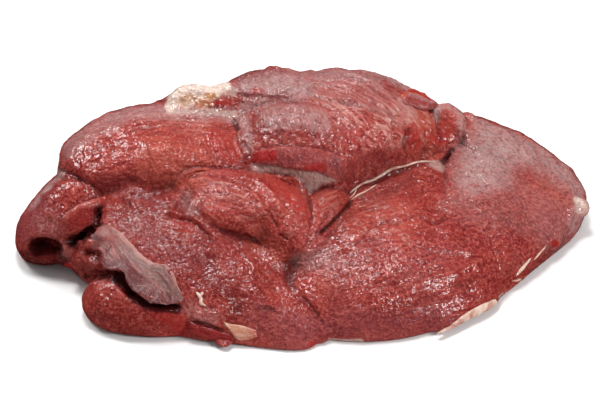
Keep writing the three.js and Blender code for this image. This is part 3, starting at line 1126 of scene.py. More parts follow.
backSwells = [
    ([(130, 270), (200, 262), (262, 270)], 9, 1.6), ([(296, 268), (360, 276), (420, 266)], 9, -1.5),
    ([(226, 240), (244, 268), (238, 294)], 6, -1.8), ([(344, 244), (334, 262), (338, 284)], 6, 1.5),
    ([(470, 256), (450, 276)], 7, 1.4), ([(150, 236), (170, 252)], 6, -1.3),
    ([(404, 244), (420, 268)], 5, -1.4), ([(96, 262), (110, 280)], 7, 1.2),
    ([(280, 284), (330, 292)], 6, 1.2), ([(180, 288), (220, 292)], 6, -1.2),
]
backSheaves = [
    ([(120, 214), (180, 200), (250, 196)], [(130, 236), (190, 224), (250, 218)], 8, 0.8, 0.5, 51, 0.4),
    ([(290, 196), (350, 200), (420, 212)], [(290, 222), (350, 226), (420, 232)], 8, 0.8, 0.5, 52, 0.3),
    ([(200, 240), (290, 246), (380, 250)], [(200, 282), (290, 288), (380, 290)], 12, 0.9, 0.45, 53, 0.2),
]
backPebbles = [((180, 230), 60, 3.4, 0.5), ((320, 230), 70, 4.0, 0.6), ((450, 240), 60, 3.2, 0.5)]
for path, width, rise in backSwells:
    swell(back, path, width, rise)
for path, width, depth in backCreases:
    crease(back, path, width, depth)
for path, over, rise, reach in backLips:
    overlap(back, path, over, rise, reach)
for row in backSheaves:
    sheaf(back, *row)
for row in backPebbles:
    pebble(back, *row)

# The underside lies flat, so it keeps only a trace of relief.
wander = threeNoises(relief["wanderSize"], 70) * relief["wander"]
flat = smoothStep(points[:, 2], relief["flatFrom"], relief["flatTo"])
points = points + (normals * lift[:, None] + wander) * flat[:, None]
points[:, 2] = np.maximum(points[:, 2], 0.0)

# Where fat, silverskin, blood, membrane and bright cut meat lie: path, radius in millimetres, strength. The
# membrane layer carries a painted sheen, and the blood and the darkening layers paint shade.
patches = {
    "calm": [
        ([(196, 186), (230, 194), (262, 212)], 14, 0.6), ([(380, 225), (420, 240), (460, 245)], 26, 0.35),
        ([(268, 156), (300, 156), (335, 166)], 8, 1.0), ([(266, 320), (290, 328), (310, 338)], 16, 0.9),
        ([(30, 205), (24, 228), (22, 245)], 14, 0.9), ([(38, 204), (46, 216), (48, 232)], 12, 1.0),
        ([(160, 160), (175, 172), (160, 182)], 12, 0.5), ([(345, 325), (400, 328), (430, 322)], 12, 0.6),
        ([(285, 190), (298, 205), (300, 230)], 8, 0.4), ([(480, 230), (540, 215)], 18, 0.5),
        ([(140, 212), (175, 235), (195, 255)], 20, 0.25), ([(225, 250), (248, 280)], 16, 0.3),
    ],
    "glaze": [
        ([(425, 292), (450, 288), (480, 274)], 14, 1.0), ([(62, 160), (78, 158), (92, 152)], 9, 1.0),
        ([(88, 150), (110, 138), (140, 138)], 10, 0.7), ([(60, 192), (72, 200), (82, 206)], 7, 1.0),
        ([(390, 272), (402, 288)], 9, 0.7), ([(340, 240), (350, 262)], 9, 0.5),
        ([(405, 190), (432, 200)], 8, 0.7), ([(256, 168), (266, 170)], 4, 1.0),
        ([(296, 176), (318, 180), (338, 184)], 5, 0.9), ([(364, 166), (392, 166)], 6, 0.8),
        ([(298, 280), (322, 286)], 9, 0.6),
    ],
    # Grey-pink membrane under a painted sheen, on surfaces that face up and back.
    "bloom": [
        ([(480, 200), (540, 212), (562, 232)], 18, 0.2), ([(330, 90), (370, 98), (400, 112)], 10, 0.3),
        ([(110, 116), (150, 112), (200, 114), (235, 116)], 5, 0.6),
        ([(70, 150), (92, 132), (118, 120)], 6, 0.5), ([(186, 198), (194, 208)], 6, 0.25),
        ([(572, 182), (582, 200), (575, 225)], 6, 0.6), ([(38, 222), (48, 226), (56, 230)], 6, 0.12),
        ([(44, 188), (50, 180), (58, 174)], 3.5, 0.9), ([(30, 205), (36, 196)], 3.0, 0.6),
        ([(190, 308), (200, 314), (212, 320)], 6, 0.25), ([(62, 246), (64, 256)], 4, 0.25),
        ([(244, 118), (247, 134), (250, 150)], 3, 0.6), ([(300, 262), (320, 258), (332, 262)], 6, 0.35),
        ([(272, 118), (300, 116), (320, 122)], 8, 0.55), ([(306, 74), (340, 74), (376, 86)], 6, 0.45),
        ([(400, 108), (412, 112)], 3, 0.5), ([(460, 118), (462, 130)], 2.2, 0.8),
        ([(436, 106), (438, 118)], 3.0, 0.8), ([(466, 142), (470, 150)], 4, 0.6),
    ],
    "skin": [
        ([(433, 164), (440, 167)], 3.4, 0.8), ([(150, 300), (156, 302)], 2.5, 0.4),
        ([(418, 104), (426, 106)], 1.8, 1.0),
    ],
    "fat": [
        ([(173, 98), (181, 92), (195, 89), (212, 88), (224, 87)], 4.2, 1.0),
        ([(170, 106), (178, 100), (190, 103)], 4.0, 0.9), ([(168, 112), (200, 111), (234, 114)], 2.2, 0.4),
        ([(218, 91), (232, 92)], 3.4, 0.45), ([(577, 200), (583, 206)], 2.4, 0.7),
        ([(330, 340), (345, 342), (362, 341)], 1.5, 0.6), ([(501, 297), (507, 294)], 1.4, 0.7),
    ],
    "amber": [([(182, 101), (194, 100), (206, 103)], 3.6, 0.6), ([(207, 96), (213, 97)], 2.6, 1.0)],
    # Near-black blood, laid mostly in crevices and gaps as painted shade.
    "bloodAndShade": [
        ([(116, 278), (124, 284), (134, 295), (150, 305), (176, 308)], 4.0, 1.0),
        ([(88, 277), (106, 275)], 3.0, 1.0), ([(72, 241), (86, 236), (98, 227)], 4.5, 1.0),
        ([(99, 208), (98, 220)], 3.0, 0.9), ([(36, 247), (52, 247)], 6.0, 1.0),
        ([(258, 308), (272, 309)], 2.0, 0.5), ([(232, 300), (238, 308)], 4.0, 0.3),
        ([(408, 131), (405, 138), (404, 146)], 2.2, 0.5), ([(452, 151), (444, 161)], 2.2, 1.0),
        ([(429, 104), (431, 111)], 1.8, 1.0), ([(234, 121), (238, 129)], 1.8, 0.35),
        ([(215, 107), (222, 107)], 1.2, 0.6), ([(352, 201), (338, 217), (322, 232)], 1.3, 0.8),
        ([(250, 238), (260, 242)], 1.4, 0.7), ([(292, 266), (290, 276)], 3.0, 0.4),
        ([(443, 163), (446, 178)], 1.4, 0.35), ([(25, 257), (42, 261), (58, 260)], 5.5, 0.75),
    ],
    "bright": [
        ([(258, 157), (272, 156)], 4.0, 0.9), ([(308, 167), (322, 167)], 2.6, 0.8),
        ([(410, 93), (418, 95), (426, 99), (433, 105)], 2.6, 0.9), ([(411, 132), (414, 144)], 5.0, 0.7),
        ([(105, 201), (116, 202)], 4.0, 0.5), ([(553, 243)], 2.6, 1.0),
        ([(312, 345), (318, 349)], 3.0, 0.7), ([(216, 140), (232, 156)], 7.0, 0.5),
        ([(272, 185), (290, 190), (298, 205)], 6.0, 0.45), ([(446, 116), (448, 140)], 5.0, 0.5),
        ([(160, 312), (176, 320), (186, 330)], 6.0, 0.6), ([(74, 222), (88, 214)], 5.0, 0.5),
        ([(36, 255), (52, 256)], 3.0, 0.7), ([(64, 266), (70, 270)], 2.5, 0.9),
        ([(300, 282), (312, 280)], 5.0, 0.3), ([(330, 92), (360, 94), (388, 100)], 7.0, 0.3),
        ([(254, 92), (262, 90)], 2.5, 0.5), ([(176, 221), (190, 228)], 4.0, 0.4),
        ([(214, 102), (221, 104)], 2.2, 0.9), ([(218, 72), (224, 70)], 2.0, 0.2),
        ([(428, 132), (434, 142)], 3.0, 0.5),
    ],
    # Painted shade: darker where the surface lies in less light.
    "dusk": [
        ([(225, 285), (240, 300), (238, 315)], 9.0, 0.7), ([(190, 250), (200, 280)], 8.0, 0.5),
        ([(280, 155), (310, 158), (340, 165)], 7.0, 0.3), ([(130, 186), (150, 190), (166, 184)], 6.0, 0.5),
        ([(66, 172), (90, 178), (112, 184)], 6.0, 0.5), ([(28, 210), (24, 236)], 12.0, 0.7),
        ([(90, 262), (80, 270)], 9.0, 0.6), ([(42, 206), (50, 228)], 12.0, 0.75),
        ([(100, 320), (140, 328)], 10.0, 0.5), ([(110, 305), (150, 318)], 10.0, 0.3),
        ([(340, 320), (400, 325), (430, 320)], 12.0, 0.35), ([(198, 230), (212, 246)], 6.0, 0.4),
        ([(270, 132), (330, 138)], 8.0, 0.25), ([(340, 280), (345, 300)], 9.0, 0.25),
        ([(265, 320), (305, 330)], 12.0, 0.45), ([(252, 84), (280, 90)], 14.0, 0.7),
        ([(325, 84), (375, 94)], 14.0, 0.35), ([(262, 120), (320, 124)], 10.0, 0.3),
        ([(140, 212), (178, 238), (196, 258)], 20.0, 0.7), ([(225, 250), (250, 284)], 16.0, 0.35),
    ],
    "rosy": [
        # The first row is painted light on the lower bulge of the upper left muscle.
        ([(158, 158), (170, 168), (188, 166)], 16.0, 1.0), ([(205, 140), (230, 150)], 10.0, 0.5),
        ([(350, 222), (385, 215), (405, 225)], 12.0, 0.5), ([(272, 180), (292, 190), (300, 205)], 6.0, 0.6),
        ([(318, 200), (335, 205)], 9.0, 0.25), ([(258, 240), (280, 256)], 8.0, 0.6),
        ([(300, 280), (325, 282)], 8.0, 0.5), ([(405, 110), (425, 125), (440, 118), (455, 120)], 9.0, 1.0),
        ([(415, 145), (430, 150)], 7.0, 0.7), ([(165, 222), (188, 230)], 7.0, 0.5),
        ([(103, 198), (118, 202)], 5.0, 0.8), ([(540, 185), (565, 205)], 10.0, 0.4),
    ],
    "lilac": [
        ([(250, 80), (275, 84), (300, 88)], 12.0, 0.5), ([(325, 84), (370, 92)], 12.0, 0.3),
        ([(268, 158), (300, 158), (336, 166)], 8.0, 0.7), ([(30, 200), (24, 225)], 12.0, 0.6),
        ([(262, 322), (300, 332)], 14.0, 0.5), ([(345, 322), (400, 328), (440, 320)], 12.0, 0.5),
        ([(150, 240), (170, 255)], 10.0, 0.15), ([(320, 130), (345, 128)], 9.0, 0.35),
        ([(270, 125), (290, 135)], 8.0, 0.35), ([(545, 215), (568, 235)], 10.0, 0.4),
    ],
}
# The same for whole areas: an outline, how far its edge fades in millimetres, a strength.
areas = {
    # Grey-pink membrane under a painted sheen.
    "bloom": [
        (
            [
                (464, 112), (500, 117), (533, 131), (566, 155), (588, 186), (571, 198), (550, 182),
                (532, 172), (518, 170), (512, 190), (484, 200), (458, 196), (450, 176), (454, 150),
                (461, 136),
            ],
            12.0, 0.9,
        ),
        (
            [
                (226, 92), (232, 84), (250, 76), (268, 70), (300, 72), (312, 84), (314, 100), (282, 98),
                (250, 96),
            ],
            5.0, 0.75,
        ),
        ([(240, 100), (300, 102), (312, 106), (280, 106), (252, 110), (244, 118), (238, 112)], 3.0, 0.7),
    ],
    "sinew": [
        (
            [
                (304, 80), (340, 72), (384, 86), (414, 102), (430, 116), (420, 126), (398, 152), (372, 136),
                (345, 128), (326, 118), (312, 100),
            ],
            6.0, 0.8,
        ),
    ],
    "skin": [
        (
            [
                (250, 163), (275, 165), (295, 170), (320, 172), (338, 181), (320, 186), (309, 192),
                (303, 182), (290, 175), (262, 174), (250, 168),
            ],
            1.6, 1.0,
        ),
    ],
}
# Fat that goes on round the edge of the view: spot, radius, strength.
fatDabs = [((582, 207), 6.0, 0.4), ((184, 92), 8.0, 0.9), ((198, 90), 8.0, 0.9), ((212, 89), 8.0, 0.9)]
# Paint seen from behind: the grey-pink membrane rows carry a painted sheen and the darkening row is painted
# shade.
backPatches = [
    ("bloom", [(120, 220), (180, 204), (240, 200)], 14, 0.7),
    ("bloom", [(300, 206), (360, 210), (420, 220)], 12, 0.6),
    ("bloom", [(60, 252), (90, 244), (140, 240)], 10, 0.7),
    ("skin", [(262, 226), (300, 232), (340, 238)], 6, 0.5),
    ("fat", [(322, 190), (340, 196), (356, 194)], 7.0, 0.6), ("fat", [(440, 232), (452, 240)], 6.0, 0.45),
    ("skin", [(430, 262), (470, 268)], 9, 0.4), ("dusk", [(180, 270), (280, 280), (380, 284)], 14, 0.5),
    ("bright", [(330, 250), (350, 260)], 9, 0.5), ("sinew", [(180, 236), (260, 244), (340, 252)], 12, 0.6),
    ("sinew", [(380, 226), (430, 236)], 10, 0.6), ("rosy", [(150, 262), (220, 270)], 14, 0.6),
    ("rosy", [(380, 262), (440, 270)], 14, 0.5), ("lilac", [(260, 262), (330, 268)], 14, 0.6),
    ("bloom", [(160, 288), (260, 296), (380, 292)], 8, 0.35),
    ("glaze", [(240, 226), (300, 232), (360, 238)], 10, 0.6),
    ("calm", [(120, 280), (260, 290), (420, 284)], 12, 0.6),
]
print("painting")
for layer, rows in patches.items():
    for row in rows:
        brush(front, layer, *row)
for layer, rows in areas.items():
    for row in rows:
        wash(front, layer, *row)
for row in fatDabs:
    dab(front, "fat", *row)
for row in backPatches:
    brush(back, *row, soft=0.9, wild=1.0)

# The sides turned away from the picture carry the same membrane with painted sheen, painted shade and wet
# areas as the front: size in millimetres, seed, noise from, noise to, strength.
turned = smoothStep(normals @ viewAxes(frontView)[0], -0.2, 0.2)
awayStains = {
    "bloom": (52.0, 201, 0.0, 0.32, 0.8), "lilac": (34.0, 211, -0.06, 0.2, 0.9),
    "rosy": (26.0, 221, 0.0, 0.22, 0.7), "dusk": (40.0, 231, 0.0, 0.25, 0.7),
    "sinew": (30.0, 241, 0.05, 0.25, 0.7), "calm": (36.0, 251, -0.05, 0.15, 0.9),
    "glaze": (30.0, 261, 0.06, 0.25, 0.6),
}
for layer, (size, seed, low, high, amount) in awayStains.items():
    stain = smoothStep(layeredNoise(points * (1, 1, 1.5), size, 4, seed), low, high)
    paint[layer] = np.maximum(paint[layer], turned * amount * stain)

# Broad stains, the painted sheen and the painted shade fade over a few millimetres, also where a view stops
# seeing the surface.
stainFade = dict(rounds=14, layers=("bloom", "calm", "glaze", "rosy", "lilac", "dusk"))
beside = np.concatenate([quads[:, [i, (i + 1) % 4]] for i in range(4)])
beside = np.concatenate([beside, beside[:, ::-1]])
beside = beside[beside[:, 0] != beside[:, 1]]
count = np.maximum(np.bincount(beside[:, 0], minlength=len(points)), 1)
for layer in stainFade["layers"]:
    for _ in range(stainFade["rounds"]):
        near = np.bincount(beside[:, 0], paint[layer][beside[:, 1]], minlength=len(points)) / count
        paint[layer] = 0.5 * paint[layer] + 0.5 * near


def setValues(piece, name, values):
    # one number or one vector for each point, which the material reads by name
    kind, field = ("FLOAT_VECTOR", "vector") if values.ndim > 1 else ("FLOAT", "value")
    piece.data.attributes.new(name, kind, "POINT").data.foreach_set(field, values.astype(np.float32).ravel())


meat = placed("shoulderMeat", makeMesh("shoulderMeat", points, quads))
for name, values in dict(paint, hollowShade=hollowShade, fibre=strength, grain=grain).items():
    setValues(meat, name, values)

# Thin pieces are laid on the finished surface.
surface = BVHTree.FromPolygons(points.tolist(), quads.tolist())


def layOn(tree, spots, ground=None):
    # how deep sight lines meet the meat, or a level above the table where they miss it
    eye, ways = viewEye(frontView), sightLines(spots, frontView)
    deep = np.full(len(spots), np.nan)
    for i, way in enumerate(ways):
        place, _, _, distance = tree.ray_cast(Vector(eye), Vector(way))
        if place is not None:
            deep[i] = distance / np.linalg.norm(way)
        if ground is not None:
            deep[i] = np.fmin(deep[i], (ground - eye[2]) / way[2])
    return eye, ways, deep


def crosswise(values, axis):
    # running length along rows of points, from nothing
    steps = np.linalg.norm(np.diff(values, axis=axis), axis=2)
    return np.concatenate([np.zeros_like(np.take(steps, [0], axis)), np.cumsum(steps, axis=axis)], axis)


def smoothGrid(values, times):
    for _ in range(times):
        wide = np.pad(values, 1, "edge")
        nearby = wide[:-2, 1:-1] + wide[2:, 1:-1] + wide[1:-1, :-2] + wide[1:-1, 2:]
        values = (values * 4 + nearby) / 8
    return values


def sheetPiece(name, settings, tree):
    # a closed thin sheet between an upper and a lower edge, which are drawn in the picture frame
    across, along = settings["cells"]
    s, t = np.meshgrid(np.linspace(0, 1, across), np.linspace(0, 1, along), indexing="ij")
    edges = []
    for i, edge in enumerate((settings["upper"], settings["lower"])):
        steps = np.stack([t[0] * along / settings["scallop"], t[0] * 0 + i, t[0] * 0], axis=1)
        ragged = np.stack([layeredNoise(steps, 1, 2, 97 + 2 * i + axis) for axis in (0, 1)], axis=1)
        edges.append(curvePoints(edge, t[0]) + settings["ragged"] * ragged)
    spots = edges[0][None] * (1 - s[..., None]) + edges[1][None] * s[..., None]
    eye, ways, deep = layOn(tree, spots.reshape(-1, 2), settings.get("ground"))
    deep = deep.reshape(across, along)
    for rows in (range(across - 2, -1, -1), range(1, across)):
        for row in rows:
            beside = row + 1 if rows.step < 0 else row - 1
            deep[row] = np.where(np.isnan(deep[row]), deep[beside], deep[row])
    deep = smoothGrid(deep, settings["smooth"]).ravel()
    places = (eye + ways * deep[:, None]).reshape(across, along, 3)
    out = np.cross(np.gradient(places, axis=1), np.gradient(places, axis=0))
    out /= np.linalg.norm(out, axis=2, keepdims=True) + 1e-9
    if (out.reshape(-1, 3) @ viewAxes(frontView)[0]).mean() > 0:
        out = -out
    # millimetres across and along the sheet
    wide, long = crosswise(places, 0), crosswise(places, 1)
    edge = np.minimum(np.minimum(wide, wide[-1:] - wide), np.minimum(long, long[:, -1:] - long))
    rim = np.sqrt(smoothStep(edge, -0.1, settings["thick"] * 1.2))
    flow = np.stack([wide / 1.2, long / 15, np.zeros_like(wide)], axis=-1).reshape(-1, 3)
    wave = np.stack([wide / 4.5, long / 22, np.ones_like(wide)], axis=-1).reshape(-1, 3)
    relief = settings["fibres"] * layeredNoise(flow, 1, 2, 91)
    relief += settings["waves"] * layeredNoise(wave, 1, 2, 92)
    relief = relief.reshape(across, along) * smoothStep(edge, 0, 2.0)
    middle = settings["lift"] + settings["curl"] * s**3 + settings.get("curlStart", 0) * (1 - t) ** 6
    half = settings["thick"] / 2 * rim
    top = places + out * (middle + half + relief)[..., None]
    bottom = places + out * (middle - half)[..., None]
    vertices = np.concatenate([top.reshape(-1, 3), bottom.reshape(-1, 3)])
    vertices[:, 2] = np.maximum(vertices[:, 2], 0.05)  # clear of the table
    index = np.arange(across * along).reshape(across, along)
    corners = (index[:-1, :-1], index[1:, :-1], index[1:, 1:], index[:-1, 1:])
    topFaces = np.stack([corner.ravel() for corner in corners], axis=1)
    around = np.concatenate([index[:-1, 0], index[-1, :-1], index[:0:-1, -1], index[0, :0:-1]])
    nextOne = np.roll(around, -1)
    size = across * along
    sides = np.stack([around, around + size, nextOne + size, nextOne], axis=1)
    faces = np.concatenate([topFaces, topFaces[:, ::-1] + size, sides])
    piece = placed(name, makeMesh(name, vertices, faces))
    for key, values in dict(grain=flow, share=t.ravel(), low=s.ravel()).items():
        setValues(piece, key, np.concatenate([values, values]))
    return piece


# Upper and lower edges in the picture frame; the rest is in millimetres, apart from ragged, which is in dots.
sheets = {
    "silverskinFlap": dict(
        cells=(46, 120), thick=1.2, lift=0.5, curl=1.9, curlStart=0.8, fibres=0.24, waves=0.8, smooth=10,
        ground=2.0, ragged=1.5, scallop=6.0,
        upper=[
            (98, 229), (108, 226), (116, 229), (122, 233), (127, 239), (133, 245), (140, 253), (149, 260),
            (158, 264), (166, 265), (171, 270), (175, 276), (177, 283), (180, 290), (184, 297),
        ],
        lower=[
            (96, 236), (95, 244), (98, 251), (105, 255), (104, 263), (110, 270), (119, 271), (125, 275),
            (128, 283), (134, 292), (142, 297), (150, 303), (158, 304), (167, 305), (177, 303), (184, 301),
        ],
    ),
    "darkFlap": dict(
        cells=(20, 46), thick=2.6, lift=0.4, curl=0.2, fibres=0.15, waves=0.5, smooth=8, ground=2.6,
        ragged=0.8, scallop=5.0,
        upper=[(188, 321), (196, 322), (205, 325), (214, 328), (222, 331), (229, 334), (236, 338)],
        lower=[(188, 332), (196, 335), (205, 338), (214, 341), (220, 346), (227, 347), (234, 341)],
    ),
    "tendonEnd": dict(
        cells=(20, 36), thick=1.0, lift=0.25, curl=0.0, fibres=0.1, waves=0.3, smooth=4, ground=2.0,
        ragged=0.6, scallop=5.0, upper=[(224, 322), (231, 324), (239, 325), (247, 327), (256, 330)],
        lower=[(226, 326), (231, 332), (237, 339), (246, 340), (257, 337)],
    ),
    "fatStrip": dict(
        cells=(12, 60), thick=1.4, lift=0.5, curl=0.8, fibres=0.1, waves=0.3, smooth=6, ground=3.0,
        ragged=0.6, scallop=6.0, upper=[(436, 334), (450, 325), (464, 314), (480, 305), (495, 299)],
        lower=[(440, 335), (456, 328), (473, 319), (489, 311), (499, 303)],
    ),
    "scrapRim": dict(
        cells=(22, 44), thick=1.8, lift=1.2, curl=-1.0, fibres=0.1, waves=0.5, smooth=14, ragged=0.8,
        scallop=5.0, upper=[(400, 96), (407, 91), (415, 90), (423, 93), (430, 98), (437, 103)],
        lower=[(404, 104), (411, 106), (418, 109), (425, 111), (430, 110), (436, 107)],
    ),
}


def cordPoints(spots, radii, sink, sides=8):
    # a thin cord laid along a path of the picture frame, sunk by a share of its radius
    spots = curvePoints(spots, np.linspace(0, 1, len(radii)))
    eye, ways, deep = layOn(surface, spots)
    deep = smoothGrid(deep[None, :], 3)[0]
    middle = eye + ways * deep[:, None]
    middle -= viewAxes(frontView)[0] * (np.array(radii) * (1 - sink))[:, None]
    along = np.gradient(middle, axis=0)
    along /= np.linalg.norm(along, axis=1, keepdims=True)
    out = -viewAxes(frontView)[0] + np.zeros_like(middle)
    aside = np.cross(along, out)
    aside /= np.linalg.norm(aside, axis=1, keepdims=True)
    out = np.cross(aside, along)
    angle = np.linspace(0, 2 * np.pi, sides, endpoint=False)
    ring = (np.cos(angle)[None, :, None] * aside[:, None] + 0.8 * np.sin(angle)[None, :, None] * out[:, None])
    vertices = (middle[:, None] + ring * np.array(radii)[:, None, None]).reshape(-1, 3)
    rows = len(radii)
    i, j = np.meshgrid(np.arange(rows - 1), np.arange(sides), indexing="ij")
    k = (j + 1) % sides
    faces = np.stack([i * sides + j, (i + 1) * sides + j, (i + 1) * sides + k, i * sides + k], axis=-1)
    faces = faces.reshape(-1, 4)
    cap = np.array([[0, 1, 2, 3], [0, 3, 4, 5], [0, 5, 6, 7]])
    return vertices, np.concatenate([faces, cap, cap[:, ::-1] + (rows - 1) * sides])


def joinedPiece(name, parts):
    vertices, faces, start = [], [], 0
    for partVertices, partFaces in parts:
        vertices.append(partVertices)
        faces.append(partFaces + start)
        start += len(partVertices)
    return placed(name, makeMesh(name, np.concatenate(vertices), np.concatenate(faces)))


# Cords of fat and slivers: path in the picture frame, and the greatest radius in millimetres.
strings = {
    "fatString": [
        (
            [
                (350, 193), (356, 188), (364, 183), (373, 180), (382, 175), (392, 169), (405, 166),
                (418, 162), (436, 161),
            ],
            0.8,
        ),
        ([(351, 200), (358, 195), (368, 190), (377, 184)], 0.5),
        ([(357, 188), (354, 194), (350, 198)], 0.4),
    ],
    "fatSlivers": [
        ([(196, 292), (199, 295), (201, 299), (201, 303), (206, 306)], 1.0),
        ([(203, 292), (201, 296)], 0.7), ([(516, 276), (520, 271), (526, 264), (531, 258)], 0.9),
        ([(512, 281), (518, 280), (526, 277)], 0.7), ([(503, 298), (508, 292)], 0.7),
        ([(546, 246), (540, 253), (534, 260)], 0.5),
    ],
}


def stringPiece(name, rows):
    parts = []
    for i, (path, radius) in enumerate(rows):
        count = max(8, int(pathLength(path) / 0.9))
        share = np.linspace(0, 1, count)
        uneven = 1 + 0.35 * gradientNoise(np.stack([share * count / 7, share * 0 + i, share * 0], 1), 95)
        radii = radius * uneven * (0.15 + 0.85 * np.sin(np.pi * share) ** 0.6)
        parts.append(cordPoints(path, radii, 0.45))
    return joinedPiece(name, parts)


# Wet beads on the lump of fat: place in the picture frame and radius in millimetres.
beads = dict(splits=3, rows=[
    ((195, 97), 0.75), ((197, 101), 0.95), ((206, 105), 0.9), ((212, 105), 1.15), ((205, 97), 0.6),
    ((214, 99), 0.7),
    ((185, 96), 0.6), ((234, 117), 0.8), ((190, 93), 0.5), ((220, 110), 0.55)])


def beadPiece(name, settings):
    model = bmesh.new()
    bmesh.ops.create_icosphere(model, subdivisions=settings["splits"], radius=1.0)
    ball = np.array([corner.co for corner in model.verts])
    faces = np.array([[corner.index for corner in face.verts] for face in model.faces])
    model.free()
    eye, ways, deep = layOn(surface, np.array([spot for spot, _ in settings["rows"]], float))
    parts = []
    for i, (_, radius) in enumerate(settings["rows"]):
        swollen = (1 + 0.22 * gradientNoise(ball * 1.3 + i * 7, 96))[:, None] * radius * (1.15, 1.0, 0.85)
        parts.append((eye + ways[i] * deep[i] + ball * swollen, faces))
    return joinedPiece(name, parts)


print("thin pieces")
bridging = ("silverskinFlap", "scrapRim")  # these span openings, so they lie on the uncut meat
pieces = {name: sheetPiece(name, settings, meatTree if name in bridging else surface)
          for name, settings in sheets.items()}
pieces.update({name: stringPiece(name, rows) for name, rows in strings.items()})
pieces["fatBeads"] = beadPiece("fatBeads", beads)


def addNode(tree, kind, inputs=None, **settings):
    made = tree.nodes.new(kind)
    for key, value in settings.items():
        setattr(made, key, value)
    for key, value in (inputs or {}).items():
        socket = made.inputs[key]
        if isinstance(value, bpy.types.NodeSocket):
            tree.links.new(value, socket)
        else:
            socket.default_value = value
    return made


def attribute(tree, name, output="Fac"):
    return addNode(tree, "ShaderNodeAttribute", attribute_name=name).outputs[output]


def maths(tree, operation, a, b=0.0, clamp=False):
    return addNode(tree, "ShaderNodeMath", {0: a, 1: b}, operation=operation, use_clamp=clamp).outputs[0]


def mixColour(tree, factor, a, b):
    return addNode(tree, "ShaderNodeMix", {0: factor, 6: a, 7: b}, data_type="RGBA").outputs[2]


def mapValue(tree, value, low, high, newLow=0.0, newHigh=1.0, smooth=True):
    return addNode(tree, "ShaderNodeMapRange", {0: value, 1: low, 2: high, 3: newLow, 4: newHigh},
                   interpolation_type="SMOOTHSTEP" if smooth else "LINEAR").outputs[0]


def noise(tree, vector, scale, detail, roughness):
    return addNode(tree, "ShaderNodeTexNoise", {
        "Vector": vector, "Scale": scale, "Detail": detail, "Roughness": roughness}).outputs[0]


def bumpNode(tree, height, distance):
    return addNode(tree, "ShaderNodeBump", {"Strength": 1.0, "Distance": distance, "Height": height})


def startMaterial(name):
    material = bpy.data.materials.new(name)
    material.use_nodes = True
    material.node_tree.nodes.clear()
    return material, material.node_tree


def wetShader(tree, colour, roughness, bump, wet, film=None, coat=None):
    # flesh under a film of juice, which has a smoother relief of its own
    shader = addNode(tree, "ShaderNodeBsdfPrincipled", {
        "Base Color": colour, "Roughness": roughness, "Normal": bump.outputs[0]})
    shader.inputs["Subsurface Weight"].default_value = wet["glow"]
    shader.inputs["Subsurface Radius"].default_value = (1.0, 0.25, 0.15)
    shader.inputs["Subsurface Scale"].default_value = 0.003
    shader.inputs["Specular IOR Level"].default_value = 0.1
    shader.inputs["Coat Weight"].default_value = wet["coat"]
    if coat is not None:
        tree.links.new(coat, shader.inputs["Coat Weight"])
    shader.inputs["Coat Roughness"].default_value = wet["coatRoughness"]
    shader.inputs["Coat IOR"].default_value = 1.5
    tree.links.new((film or bump).outputs[0], shader.inputs["Coat Normal"])
    addNode(tree, "ShaderNodeOutputMaterial", {"Surface": shader.outputs[0]})


# Colours. The grey-pink membrane colour carries a painted sheen, the near-black blood also serves as painted
# shade in crevices, and deep is also the painted shade of hollows and dim places.
meatLook = dict(
    deep=(0.10, 0.005, 0.006, 1), red=(0.22, 0.013, 0.012, 1), rose=(0.32, 0.030, 0.025, 1),
    pale=(0.50, 0.11, 0.085, 1), bloom=(0.43, 0.275, 0.265, 1), skin=(0.48, 0.29, 0.26, 1),
    sinew=(0.58, 0.26, 0.22, 1), cool=(0.23, 0.032, 0.038, 1), warm=(0.36, 0.038, 0.023, 1),
    fat=(0.70, 0.55, 0.47, 1), amber=(0.46, 0.21, 0.09, 1), bloodAndShade=(0.030, 0.002, 0.003, 1),
    bright=(0.33, 0.016, 0.014, 1), rosy=(0.42, 0.075, 0.048, 1), lilac=(0.27, 0.075, 0.088, 1),
    wet=dict(glow=0.15, coat=1.0, coatRoughness=0.1),
)


